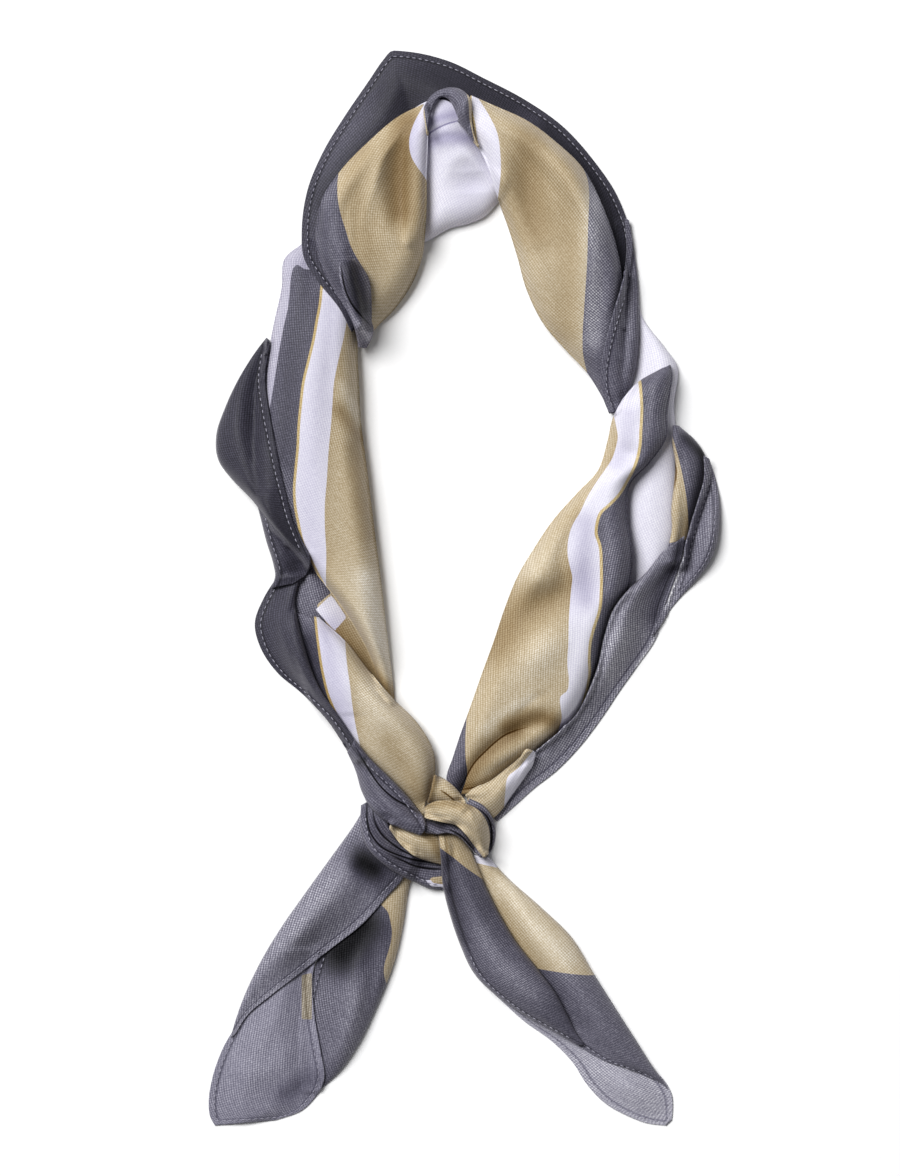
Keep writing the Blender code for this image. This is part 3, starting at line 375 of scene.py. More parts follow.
        (63.5, 53.6, 82.8, 53.2, 0.84),
        (60.3, 51, 82.2, 50, 0.86),
        (57.8, 48, 79.2, 47.8, 0.86),
        (55.7, 45, 77.2, 45.2, 0.84),
        (53.4, 42, 75.8, 42.4, 0.8),
        (51.2, 39, 73, 39.3, 0.72),
        (49.3, 36.5, 68.8, 36.8, 0.6),
        (47.8, 34.3, 64, 35, 0.46),
        (46.5, 32.3, 58.6, 33.2, 0.34),
        (47.3, 30.8, 54, 31, 0.24),
    ), creases=(
        ("soft", -1.6, 3.5, ((79.5, 63.5), (82, 62.5), (85, 62.8))),
        ("soft", -5, 9, ((71.5, 50.5), (66, 49), (60.5, 47.2), (57, 45), (54.5, 42))),
        ("soft", 3, 6.5, ((61.5, 52.3), (65, 50.9), (69, 51.6))),
        ("soft", 2.5, 8, ((59.5, 43), (64, 44), (68, 46.5))),
        ("tuck", -2.6, 2.6, ((48.6, 30.9), (50, 32.1), (52, 33.8), (54, 34.8), (56, 35.7),
            (58, 36.4), (60, 36.8), (63, 37.2))),
        ("soft", -1.8, 4.5, ((59, 37), (63, 37.6), (67, 38))),
        ("sharp", -0.9, 1.7, ((60, 38), (62, 39), (64, 39.8), (66.5, 40.3))),
        ("tuck", -1.6, 1.8, ((48.6, 31.1), (50, 31.3), (52, 31.5), (54, 31.8), (56, 32),
            (58, 32.6), (61, 33.8))),
        ("soft", 1.3, 3, ((52.5, 32.9), (57, 34.4), (61.5, 35.6))),
        ("soft", -1.5, 4, ((72.5, 57.5), (69.5, 54), (69.5, 50))),
        ("soft", 1.6, 4, ((79.5, 55), (79, 50), (76, 45), (74.5, 41))),
    ), prints=(
        ("pale", 0, ((79.6, 65), (79.9, 64), (79.5, 63), (78.8, 62), (77.5, 61), (76, 60),
            (74, 58.5), (72.5, 57), (71, 55.8), (70.2, 54.5), (70.1, 53), (70.5, 52), (71, 51),
            (70.8, 50), (70.6, 49), (70.3, 47), (70.2, 45), (70, 43), (70.3, 41.3), (70, 40.5),
            (68.7, 40), (68.7, 39), (69, 38), (68.5, 37))),
        ("slate", 1.1, ((84, 68.5), (84.2, 66.5), (84, 64.5), (83.8, 63), (83, 61.5),
            (81.5, 60), (80, 58.8), (78, 57.8), (76.2, 57), (75.5, 56), (75.3, 55), (76, 54),
            (76.3, 52), (76.3, 50), (76, 48), (75, 46.5), (74.2, 45), (74, 43.5), (74.1, 42),
            (73.8, 41), (73, 39.5), (72, 38.3), (71, 37.5))),
        ("slate", 0, ((49.2, 30.6), (50.6, 33), (50.3, 34), (50.2, 36), (51, 39.5), (52, 41.6))),
    ), lustres=(
        (0.42, 8, ((71, 50.6), (66, 49), (60.5, 47.2), (56.5, 44.6))),
        (-0.15, 7, ((64, 52), (67, 53.6))),
        (-0.15, 9, ((61, 42), (66, 44.5))),
        (0.9, 3.4, ((49.5, 31.6), (52, 33.4), (56, 35.3), (60, 36.6))),
        (0.6, 2, ((49.8, 31.3), (54, 31.8), (60, 33.4))),
        (1, 3, ((58.5, 37.1), (62, 37.8), (65.5, 38), (68.5, 37.2))),
        (-0.3, 2.4, ((54, 36.8), (58, 38.6), (63, 39.8))),
        (0.5, 3, ((82, 66), (81.4, 63.5), (79.6, 61.6))),
        (0.8, 4, ((73.6, 56), (73.2, 52.6), (73.6, 49))),
    )),
    Piece("right_inner_fold", "sheet", "gold", "slate_silk", SMALL_CELL, "fold", "fold", outline=(
        (90.7, 65.1, 92, 65.1, 0.14),
        (90.5, 63.6, 95.3, 63.7, 0.26),
        (91.1, 61.6, 97.4, 61.9, 0.32),
        (90.8, 59.5, 97.2, 59.7, 0.32),
        (90.3, 57.2, 95.6, 57.3, 0.28),
        (90.4, 55.3, 94.2, 55.2, 0.24),
        (89.8, 53.9, 93.4, 54, 0.2),
        (88.6, 52.4, 92.4, 52.6, 0.14),
    ), creases=(
        ("tuck", -1.1, 1.2, ((90, 64.6), (90.4, 63.2), (91, 61.8), (91.3, 60.8), (91.1, 59.8),
            (90.7, 58.9))),
        ("soft", -1.5, 3, ((93, 64), (95.6, 62.6), (96.4, 58.5))),
    ), prints=(
        ("slate", 0, ((90.6, 64), (91.5, 62.5), (92.3, 61), (92.9, 59.5), (93.4, 58),
            (93.7, 56.5), (93.8, 55.5))),
        ("slate", 0, ((95, 54.7), (93.2, 54.5), (90.2, 54.2), (88, 54))),
    ), lustres=(
        (0.9, 2.2, ((96.8, 63), (97, 61.4), (95.8, 59), (94.8, 57), (94, 55))),
        (1, 2, ((93.4, 64), (95.4, 63), (97.4, 62))),
    )),
    Piece("right_hem_panel", "sheet", "slate", "slate_silk", CELL, "fold", "hem", outline=(
        (88.5, 53.3, 93, 54.8, 0.16),
        (85, 51.2, 92.3, 52.3, 0.26),
        (82, 49.9, 90.8, 50.3, 0.34),
        (79.2, 48.2, 89.3, 48.3, 0.38),
        (77.3, 45.6, 87.6, 45.4, 0.38),
        (76, 42.8, 83.8, 42.7, 0.36),
        (74.4, 40.7, 80.5, 40.5, 0.32),
        (72, 38.4, 76.7, 37.8, 0.28),
        (68.5, 36.7, 72.5, 35.2, 0.26),
        (64.5, 35, 68, 33, 0.24),
        (61.5, 32.9, 63.7, 31.4, 0.22),
        (59, 30.6, 60.2, 29.9, 0.18),
        (55.6, 28.7, 56.4, 28.3, 0.12),
    ), creases=(
        ("soft", -2.2, 5, ((90, 53.4), (87, 50.8), (84.5, 48))),
        ("soft", 0.8, 4, ((83.5, 47.5), (80, 43), (76, 39.3), (70, 36))),
    ), lustres=(
        (0.5, 3.5, ((92.6, 54.4), (91.2, 52), (89, 49.5), (87.6, 47.4))),
        (-0.12, 5, ((81, 45.5), (78, 42))),
        (-0.45, 0.8, ((93, 54.8), (92.3, 52.3), (90.8, 50.3), (89.3, 48.3), (87.6, 45.4),
            (83.8, 42.7))),
    ), hems=(
        ("right", 0.52, 0.98),
    ), depth=-0.28),
    Piece("right_lobe_hem", "sheet", "slate", "slate_silk", SMALL_CELL, "hem", "fold", outline=(
        (96.9, 62.3, 97.9, 62, 0.14),
        (97, 60.4, 99, 60.5, 0.24),
        (95.8, 58.2, 100, 58.2, 0.34),
        (94.3, 55.9, 100, 56, 0.4),
        (93.2, 53.8, 99.4, 54, 0.4),
        (92.2, 51.9, 97.8, 52.2, 0.34),
        (91.2, 50.3, 95, 50.5, 0.26),
        (90.2, 49.1, 92.4, 49.2, 0.16),
        (89, 48, 90.3, 48, 0.1),
        (87.8, 46.8, 88.6, 46.7, 0.06),
        (86.6, 45.6, 86.9, 45.6, 0.02),
    ), creases=(
        ("soft", 1, 3, ((98, 60), (98, 56), (96.4, 53.2))),
    ), lustres=(
        (-0.35, 2, ((92.6, 52.6), (90.8, 50), (89.4, 48.4))),
    ), hems=(
        ("left", 0.05, 0.8),
        ("right", 0.3, 0.98),
    ), depth=-0.12),
    Piece("right_lower_fold", "sleeve", "gold", "gold_silk", SMALL_CELL, "fold", "fold", outline=(
        (63.5, 34.9, 63.9, 34.6, 0.08),
        (62.6, 35.1, 63.7, 34, 0.2),
        (60.8, 34.3, 62.2, 32.7, 0.3),
        (57.5, 33, 59.4, 30.8, 0.34),
        (54.6, 32, 57, 29.2, 0.34),
        (52, 31.5, 55, 28.4, 0.3),
        (50.2, 30.8, 52.6, 28.2, 0.24),
    ), prints=(
        ("pale", 0, ((62.3, 34.3), (60.5, 33.3), (58.5, 32.5), (58, 31), (57.8, 29.8))),
    )),
    Piece("left_front_fold", "sleeve", "slate", "gold_silk", CELL, "fold", "fold", outline=(
        (16.5, 47.7, 21.6, 47.3, 0.24),
        (17.5, 44.6, 27, 45, 0.42),
        (19, 41.6, 31.2, 42.5, 0.56),
        (21.5, 39, 36.3, 39.7, 0.68),
        (25, 36.8, 41, 37.4, 0.74),
        (29, 34.5, 44, 34.8, 0.7),
        (33.5, 32.6, 44.3, 32.6, 0.56),
        (37.4, 31, 43.5, 31, 0.42),
        (39.8, 29.8, 42.7, 29.9, 0.3),
        (41.2, 28.8, 42.2, 28.9, 0.22),
    ), creases=(
        ("sharp", -1.8, 2, ((18.6, 47), (19.9, 43.5), (21.6, 40.7), (24.4, 38.3))),
        ("soft", 1.8, 5, ((31, 41), (35, 38.6), (39, 36.2))),
        ("soft", -1.6, 4, ((34.5, 36.3), (38.5, 33), (41.2, 30.8))),
    ), prints=(
        ("pale", 0.9, ((20.7, 47.4), (21.3, 45), (22.3, 42), (23.5, 39.8), (24.2, 39))),
        ("gold", 0, ((26.8, 45), (27.2, 43), (27.8, 41), (28.3, 39), (29, 37), (29.6, 35.7))),
    ), lustres=(
        (0.3, 4, ((35, 36), (39, 33), (41.5, 30.5))),
        (0.8, 4, ((22.8, 46), (24.3, 42), (26.2, 39), (27, 37.5))),
        (-0.22, 8, ((31, 40), (35.5, 36), (39, 33.5))),
        (0.4, 3, ((19, 45), (21, 41.4), (24, 38.6))),
    )),
    Piece("left_lobe_lower", "sheet", "slate", "slate_silk", SMALL_CELL, "hem", "fold", outline=(
        (13, 50.8, 18, 51, 0.16),
        (10.8, 49.1, 17, 48.9, 0.28),
        (9.05, 46.9, 17.7, 46.8, 0.4),
        (10, 44.6, 19, 44.5, 0.44),
        (13.5, 42.1, 20.7, 42, 0.4),
        (18, 40.3, 22.7, 40.1, 0.34),
        (23, 37.9, 25.6, 38.2, 0.28),
        (26, 35.8, 28.2, 36.3, 0.24),
        (28.2, 33.9, 30.4, 34.5, 0.18),
    ), creases=(
        ("pleat", 1, 3, ((24, 38.3), (22, 40), (19.2, 42.4), (17.6, 45), (16.4, 47.5), (16, 50.3))),
        ("pleat", 0.8, 2.5, ((21.6, 39.4), (18.2, 42), (16, 44.4), (14.8, 47), (14.4, 50))),
        ("pleat", 0.7, 2.5, ((16.8, 42.2), (14.2, 44.4), (12.8, 46.8), (12.8, 49.8))),
    ), hems=(
        ("left", 0.02, 0.98),
    ), depth=0.55),
    Piece("left_lobe_middle", "sheet", "slate", "slate_silk", SMALL_CELL, "fold", "hem", outline=(
        (9, 58.6, 13, 58.8, 0.14),
        (10.1, 56.6, 16.6, 56.4, 0.22),
        (11.3, 54.3, 18.8, 54.1, 0.26),
        (12.6, 52.3, 20, 52.5, 0.26),
        (13, 51.1, 19.2, 51.3, 0.22),
        (12.2, 50, 16.5, 50.4, 0.16),
    ), creases=(
        ("pleat", 0.7, 3, ((13, 50.9), (14.5, 52.8), (16, 54.6))),
    ), hems=(
        ("left", 0.1, 0.8),
    ), depth=0.5),
    Piece("left_lobe_upper", "sheet", "slate", "slate_silk", CELL, "fold", "hem", outline=(
        (11.3, 73.3, 11.9, 73, 0.04),
        (9.8, 72.4, 11.6, 71.9, 0.12),
        (6, 69.6, 11, 69.2, 0.32),
        (3.3, 66.9, 12, 66.2, 0.4),
        (1.5, 64.3, 13.2, 63.4, 0.46),
        (1.9, 61.9, 14.4, 60.7, 0.46),
        (4.6, 60.1, 15.6, 58.3, 0.42),
        (8.3, 58.3, 16.7, 56.1, 0.34),
        (12, 56.2, 18.1, 54.3, 0.26),
        (15.6, 54.3, 19.4, 52.9, 0.16),
    ), creases=(
        ("soft", 0.6, 3, ((8, 59.4), (12, 57.4), (15, 56), (18, 54.4))),
        ("soft", -0.5, 5, ((9.3, 71), (10, 66.5), (11.6, 62.5))),
    ), lustres=(
        (0.2, 4, ((8.5, 59), (10.4, 57.6), (13, 56.4), (15.2, 55.2), (18, 53.8))),
    ), hems=(
        ("right", 0.04, 0.98),
    ), depth=0.66),
    Piece("tail_left_back", "sheet", "slate", "slate_silk", CELL, "hem", "fold", outline=(
        (28, 27, 41, 25, 0.2),
        (27, 23, 39.2, 22, 0.26),
        (24, 19, 38, 18.5, 0.3),
        (21, 15, 36.2, 15, 0.32),
        (19, 11, 32.8, 11, 0.32),
        (18.5, 7.5, 29.2, 7.5, 0.28),
        (18.5, 4.9, 25.4, 4.9, 0.2),
        (19, 3.3, 22.3, 3.5, 0.12),
    ), creases=(
        ("soft", -2.5, 6, ((22, 14), (26, 17), (31, 20))),
        ("soft", 1.8, 5, ((29, 15), (28.4, 9.5), (26, 6))),
        ("soft", -1.2, 3, ((32.6, 17), (31.4, 12), (28.6, 8))),
    ), prints=(
        ("gold", 0, ((33.8, 20.6), (35, 20), (35.6, 19), (35.9, 18), (35.6, 17), (35, 16),
            (34.4, 15), (34.3, 14.2), (34.8, 13.2))),
    ), lustres=(
        (2, 7, ((25.8, 16.1), (28, 17.3), (30, 18.7))),
        (-0.1, 7, ((30, 12), (28, 7))),
    ), hems=(
        ("left", 0.45, 0.99),
    )),
    Piece("tail_left_tip", "sheet", "reverse", "slate_silk", SMALL_CELL, "hem", "hem", outline=(
        (12.5, 16.2, 21.4, 16.4, 0.16),
        (8.5, 12.5, 20.3, 13.6, 0.2),
        (5.4, 9.4, 20.7, 10.2, 0.24),
        (2.6, 7, 21.9, 6.9, 0.24),
        (0.7, 4.4, 22.6, 4.3, 0.2),
        (0, 2.3, 20.8, 2.6, 0.16),
        (0.3, 0.8, 17.4, 1.2, 0.12),
        (1.2, 0, 13, 0.5, 0.08),
    ), creases=(
        ("soft", -1, 3, ((14, 2.4), (18.5, 3.6), (20.8, 6))),
        ("soft", 0.9, 5, ((4.5, 6), (10, 5), (16, 7))),
    ), prints=(
        ("faded", 0, ((18.2, 9.9), (20.2, 9.9), (20.2, 14.2), (18.2, 14), (18.2, 9.9))),
    ), lustres=(
        (0.3, 4, ((15, 3), (20, 4.4))),
    ), hems=(
        ("left", 0.1, 0.99),
        ("right", 0.5, 0.97),
        ("end", 0.05, 0.95),
    ), depth=0.08),
    Piece("tail_left_front", "sheet", "slate", "slate_silk", CELL, "fold", "hem", outline=(
        (31, 30, 40, 26, 0.26),
        (28.5, 28, 38.6, 23.5, 0.34),
        (24, 25, 35, 21.4, 0.42),
        (19, 21.7, 30, 18.8, 0.44),
        (14, 18.3, 24, 16.5, 0.42),
        (10, 15.1, 17.6, 14.1, 0.36),
        (7, 12.1, 12, 12.1, 0.28),
        (5.2, 9.7, 7.4, 10.2, 0.2),
        (4.3, 8.2, 5, 8.4, 0.12),
    ), creases=(
        ("soft", -2.6, 6, ((29.5, 26.5), (31.5, 24), (34.5, 22.6))),
        ("soft", 1.3, 5, ((28, 24.5), (20, 20), (13, 15.7))),
    ), lustres=(
        (0.4, 6, ((29.6, 25.6), (32, 24), (35, 22.8))),
        (1.7, 4, ((30.4, 24.6), (32, 24.1))),
    ), hems=(
        ("right", 0.06, 0.98),
    ), depth=-0.2),
    Piece("tail_right_tip", "sheet", "reverse", "slate_silk", SMALL_CELL, "hem", "hem", outline=(
        (53, 13.5, 60, 13.2, 0.12),
        (57.5, 11.5, 66, 10.8, 0.14),
        (62, 9.6, 72, 9, 0.16),
        (67, 7.9, 77, 8, 0.18),
        (71, 6, 81, 7, 0.2),
        (74.2, 3.7, 85, 5.8, 0.2),
        (77.5, 2.1, 88.4, 4.6, 0.2),
        (81.5, 1, 90.5, 3, 0.18),
        (86, 0.2, 90.8, 1.6, 0.14),
        (89.5, 0, 90.6, 0.5, 0.08),
    ), creases=(
        ("soft", -0.9, 3, ((66, 9.2), (73, 8), (80, 6.8))),
    ), hems=(
        ("left", 0.4, 0.98),
        ("right", 0.6, 0.98),
    ), depth=-0.3),
    Piece("tail_right_back", "sheet", "gold", "slate_silk", CELL, "hem", "fold", outline=(
        (48, 25.4, 54.8, 25, 0.22),
        (52, 22, 58.6, 23, 0.28),
        (55, 18.5, 65, 20.3, 0.34),
        (58, 15.2, 71, 17.5, 0.38),
        (62, 12.2, 75.5, 14, 0.38),
        (67, 9.6, 79.6, 10.9, 0.36),
        (72, 7.6, 83.5, 8, 0.32),
        (78, 6, 87, 5.4, 0.24),
        (84, 5.1, 89, 4.1, 0.16),
        (88, 4.2, 89.7, 3.5, 0.1),
    ), creases=(
        ("soft", -2.4, 5, ((55, 21), (60.5, 16.6), (66, 12.8), (72, 9.5))),
        ("soft", 1.4, 5, ((62, 19.3), (69, 15.5), (74, 12), (79, 8.5))),
    ), prints=(
        ("slate", 0, ((76, 14), (74.5, 14.05), (70, 14.3), (65, 14.6), (58, 15))),
        ("pale", 0, ((51, 24.6), (56.5, 24), (56.5, 26), (51, 26), (51, 24.6))),
    ), lustres=(
        (-0.3, 5, ((58, 22.4), (64, 18.6), (70, 15.8))),
        (0.2, 4, ((57, 20), (61, 16.2), (67, 12))),
    ), hems=(
        ("left", 0.5, 0.98),
    )),
    Piece("knot_side_layers", "sheet", "slate", "slate_silk", SMALL_CELL, "hem", "fold", outline=(
        (50, 29.4, 51, 30.5, 0.22),
        (51.6, 28.6, 53.6, 29.9, 0.28),
        (52.4, 27.6, 55.5, 28.7, 0.32),
        (52.6, 26.7, 56.1, 27.3, 0.32),
        (52.6, 25.9, 55.6, 25.9, 0.28),
        (52.8, 25.2, 54.4, 24.9, 0.2),
    ), creases=(
        ("tuck", -0.5, 1, ((55.1, 24.9), (55.3, 26), (55.4, 27.3), (54.6, 28.7), (52.6, 29.7))),
    )),
    Piece("knot_top_fold", "sleeve", "gold", "gold_silk", SMALL_CELL, "fold", "fold", outline=(
        (42.9, 30, 44.3, 32.7, 0.24),
        (45.4, 29.8, 46.4, 32.2, 0.3),
        (47.6, 29.6, 48.4, 31.4, 0.3),
        (49.6, 29.4, 50.2, 30.3, 0.22),
    ), creases=(
        ("tuck", -0.8, 1.4, ((45.2, 31.3), (46.4, 30.95), (47.8, 30.4), (49, 29.9))),
    ), prints=(
        ("slate", 0, ((42.4, 31), (44, 30.85), (46.4, 30.4), (44.5, 29.6), (42.4, 29.6),
            (42.4, 31))),
    ), lustres=(
        (0.9, 1.2, ((42.9, 30), (44.3, 32.7))),
    )),
    Piece("knot_hem_wrap", "sheet", "slate", "slate_silk", SMALL_CELL, "fold", "hem", outline=(
        (29.8, 29.8, 31.6, 30.3, 0.18),
        (29.8, 27.8, 34.6, 28.5, 0.34),
        (31, 26, 35.8, 27.3, 0.42),
        (33.5, 24.7, 37.8, 26.1, 0.46),
        (37, 23.5, 40.5, 25.2, 0.46),
        (40.5, 22.6, 43.3, 24.6, 0.42),
        (43.8, 21.95, 45.9, 24.3, 0.34),
        (46.6, 21.9, 47.2, 24, 0.22),
    ), creases=(
        ("tuck", -0.6, 1.2, ((31.1, 30.4), (31, 28.9), (31.7, 27.4), (33.6, 26.2), (37, 25.3),
            (40, 24.8), (43, 24.5), (47, 24.2))),
        ("tuck", -0.5, 1.2, ((32.2, 30), (32.4, 28.6), (33.6, 27.4), (36, 26.3), (39, 25.4),
            (42, 24.95), (47, 24.6))),
        ("tuck", -0.5, 1.2, ((35, 25.5), (38, 24.75), (41, 24.1), (43.6, 23.9), (47, 23.85))),
    ), prints=(
        ("pale", 0, ((42.4, 22.9), (43.6, 22.3), (48, 22.1), (48, 22.8), (42.4, 22.9))),
        ("gold", 0, ((43, 23.1), (44, 22.6), (48, 22.3), (48, 23.3), (43, 23.1))),
    ), hems=(
        ("left", 0.1, 0.95),
    ), depth=0.1),
    Piece("knot_lower_wrap", "sleeve", "gold", "gold_silk", SMALL_CELL, "fold", "fold", outline=(
        (35.3, 27.7, 36, 28.4, 0.22),
        (37, 26.6, 38.4, 28.4, 0.32),
        (39.6, 25.4, 41.4, 28.4, 0.38),
        (42.4, 24.7, 44, 28, 0.38),
        (44.7, 24.4, 46.2, 27.4, 0.34),
        (46.4, 24.2, 47.4, 26.4, 0.24),
    ), creases=(
        ("tuck", -0.7, 1.2, ((44.6, 28), (45.1, 26.8), (45.5, 25.6), (45.9, 24.2))),
    ), lustres=(
        (0.6, 1.6, ((41, 27.6), (43.6, 26.8), (45, 25.2))),
    )),
    Piece("tail_right_front", "sheet", "slate", "slate_silk", CELL, "fold", "fold", outline=(
        (44.9, 27.3, 50, 27.2, 0.22),
        (45.4, 25, 51.8, 25.2, 0.34),
        (45.8, 22.4, 54, 22.6, 0.42),
        (47.2, 19.6, 57, 19.7, 0.46),
        (49.3, 16.7, 60.3, 17.1, 0.46),
        (52, 14.1, 64.3, 14.7, 0.44),
        (56.5, 12, 67.8, 12.5, 0.38),
        (62, 10.2, 70.2, 10.3, 0.3),
        (67.5, 8.8, 71.9, 8.7, 0.2),
        (72.2, 7.5, 73.4, 7.6, 0.12),
    ), creases=(
        ("sharp", -1.6, 1.6, ((46.3, 25.4), (47, 22.5), (48.2, 20.3), (49.8, 18))),
        ("soft", 1.5, 4, ((51, 21.5), (53.6, 18), (57, 15), (61, 13.2), (66, 11.3))),
        ("soft", -1.6, 3.5, ((52, 23.5), (55.4, 19.6), (59.6, 16.2))),
    ), prints=(
        ("gold", 0, ((46, 25.7), (48, 25), (50, 24.2), (52, 23.5), (53.5, 23))),
    ), lustres=(
        (0.35, 3, ((46.6, 25), (47.4, 21), (49.4, 17.4))),
        (-0.2, 5, ((53, 18), (57, 15), (63, 12.6))),
    ), hems=(
        ("left", 0.5, 0.98),
    ), depth=0.15),
    Piece("knot_roll", "sleeve", "slate", "slate_silk", SMALL_CELL, "fold", "fold", outline=(
        (42.2, 28.7, 42.4, 27.3, 0.22),
        (44.7, 28.5, 44.5, 27.2, 0.3),
        (47.8, 28.4, 47, 27.3, 0.34),
        (50, 27.7, 49.3, 26.8, 0.34),
        (51.9, 26.6, 50.9, 26, 0.3),
        (54, 25.3, 53.2, 24.95, 0.22),
    ), creases=(
        ("tuck", -0.4, 0.9, ((46.2, 27.7), (48, 27.45), (49.6, 26.95), (51, 26.2), (52.4, 25.4))),
    ), lustres=(
        (0.9, 1.4, ((42.2, 28.7), (44.4, 28.3), (45.6, 28))),
    )),
    Piece("knot_crescent", "sleeve", "gold", "gold_silk", SMALL_CELL, "fold", "fold", outline=(
        (42, 29.6, 42.3, 28.7, 0.24),
        (43.8, 30.15, 43.6, 28.55, 0.4),
        (46.8, 30.35, 46, 28.3, 0.5),
        (50.2, 30.1, 48.5, 28, 0.54),
        (52.9, 29.4, 50.3, 27.2, 0.54),
        (54.6, 28.1, 51.7, 26.3, 0.5),
        (55, 26.6, 52.9, 25.5, 0.38),
        (54.6, 25.3, 53.7, 25, 0.24),
    ), creases=(
        ("soft", -0.9, 1.8, ((42.6, 29.6), (46, 29.7), (49.4, 29.2))),
        ("soft", 0.8, 2, ((44.6, 29), (48.6, 28.8), (51.6, 27.9))),
    ), lustres=(
        (0.5, 1.6, ((42.2, 29.9), (46.5, 30.1), (51, 29.8))),
    )),
    Piece("knot_hem_nose", "sheet", "slate", "slate_silk", SMALL_CELL, "fold", "fold", outline=(
        (27.2, 34.8, 28.8, 36, 0.16),
        (28.8, 32.9, 31.6, 34.3, 0.26),
        (30, 31, 35.2, 32.6, 0.34),
        (32.2, 29.4, 38.6, 30.9, 0.38),
        (35.4, 28.2, 41, 29.5, 0.38),
        (38.8, 27.5, 42.2, 28.7, 0.34),
        (41.6, 27.1, 42.6, 28.1, 0.24),
    ), creases=(
        ("tuck", -0.7, 1.4, ((28.6, 35.6), (31.4, 33.2), (33.6, 31.7), (36.4, 30.5),
            (39.4, 29.7), (42, 28.9))),
        ("soft", 0.7, 2.5, ((29.4, 33.2), (32, 31), (35.8, 29.4), (40, 28.4))),
    ), hems=(
        ("right", 0.2, 0.9),
    ), depth=0.1),
)

INKS = {
    "slate": "#585664",
    "gold": "#b3a386",
    "faded": "#8f8677",
    "rim": "#c0ac7e",
    "pale": "#d6d4e0",
    # The pale ink painted in shade, for the left band's outer strip
    "pale_in_painted_shade": "#a9a6b5",
    "reverse": "#7d7b8a",
    "thread": "#adabb9",
}


def linear(hex_colour):
    """The linear red, green, blue and alpha of an sRGB hex colour."""
    shares = [int(hex_colour[i : i + 2], 16) / 255 for i in (1, 3, 5)]
    parts = [c / 12.92 if c <= 0.04045 else ((c + 0.055) / 1.055) ** 2.4 for c in shares]
    return (*parts, 1.0)


def add_node(tree, kind, settings=None, sockets=None, output=0):
    """Adds a node with its settings and its sockets' values or feeds, and gives its output."""
    node = tree.nodes.new(kind)
    for key, value in (settings or {}).items():
        setattr(node, key, value)
    for key, value in (sockets or {}).items():
        if isinstance(value, bpy.types.NodeSocket):
            tree.links.new(value, node.inputs[key])
        else:
            node.inputs[key].default_value = value
    return node.outputs[output]


def new_material(name):
    """A material, its node tree and its shader."""
    material = bpy.data.materials.new(name)
    material.use_nodes = True
    return material, material.node_tree, material.node_tree.nodes["Principled BSDF"]


# Settings that several nodes share
EASED = {"interpolation_type": "SMOOTHSTEP"}
OVERPRINT = {"data_type": "RGBA"}
PLUS = {"operation": "ADD"}
TIMES = {"operation": "MULTIPLY"}
TIMES_AND_ADD = {"operation": "MULTIPLY_ADD"}
SIZE_ONLY = {"operation": "ABSOLUTE"}

# How far an ink bleeds at its edge, half the width of the painted shade along a tuck's bottom,
# and how much deeper it is painted there
INK_BLEED = 0.12 * MM
TUCK_HALF = 0.5 * MM
TUCK_SHADE = 2.2
# The weave. The real ribs, and the picks across them, are about 0.75 mm apart, and are drawn
# at 0.9 mm, as fine as the render shows. A wave of scale one repeats every RIB_WAVES metres.
RIB_PITCH = 0.9 * MM
RIB_TILT = 0.30
RIB_HEIGHT = 0.025 * MM
RIB_WAVES = 2 * np.pi / 20
RIB_WARP = 0.6
STREAK_LENGTH = 9 * MM
STREAK_WIDTH = 1.1 * MM
SLUB_HEIGHT = 0.006 * MM
GRAIN_SIZE = 0.55 * MM
PATCH_SIZE = 22 * MM
RUMPLE_SIZE = 19 * MM
RUMPLE_HEIGHT = 0.5 * MM
RUMPLE_ROUGHNESS = 0.45
# The share of the ribs and picks that is left where they show least
LEAST_CLEAR = 0.5
# An ink is left as it is by a depth of one, half of which comes in with the grain and half
# with the streaks
HALF_BASE = 0.5
# How far each part of the weave turns the ink's depth either way
GRAIN_DEPTH = 0.16
RIB_DEPTH = 0.26
PICK_DEPTH = 0.18
STREAK_DEPTH = 0.05
# The silk's gloss, the least that is left of it where the painted shade is deepest, the depths
# between which it falls, and the sheen of the fibre ends as a share of it
GLOSS = 0.4
DEEP_GLOSS = 0.04
GLOSS_FADES = 1.5
GLOSS_GONE = 3.6
SHEEN_SHARE = 0.375
SHEEN_ROUGHNESS = 0.5
SHEEN_TINT = "#e8e4f0"
# The roughness of the silk where its fibres lie best and worst, and that of the thread
SMOOTHEST = 0.62
ROUGHEST = 0.7
THREAD_ROUGHNESS = 0.7
# The middle of a noise's values
NOISE_SPAN = {"From Min": 0.3, "From Max": 0.7}


def printed_colour(tree, piece):
    """The inks of the piece, each printed over the ones before it, with edges that bleed."""
    colour = linear(INKS[piece.ink])
    for number, (ink, rim, _) in enumerate(piece.prints, 1):
        name = {"attribute_name": "print_%d" % number}
        side = add_node(tree, "ShaderNodeAttribute", name, output="Fac")
        for layer, start in [("rim", 0.0), (ink, rim * MM)] if rim else [(ink, 0.0)]:
            edge = {"Value": side, "From Min": start - INK_BLEED, "From Max": start + INK_BLEED}
            inside = add_node(tree, "ShaderNodeMapRange", EASED, edge)
            layers = {0: inside, 6: colour, 7: linear(INKS[layer])}
            colour = add_node(tree, "ShaderNodeMix", OVERPRINT, layers, output=2)
    return colour


def tuck_lines(piece):
    return [points for kind, _, _, points in piece.creases if kind == "tuck"]


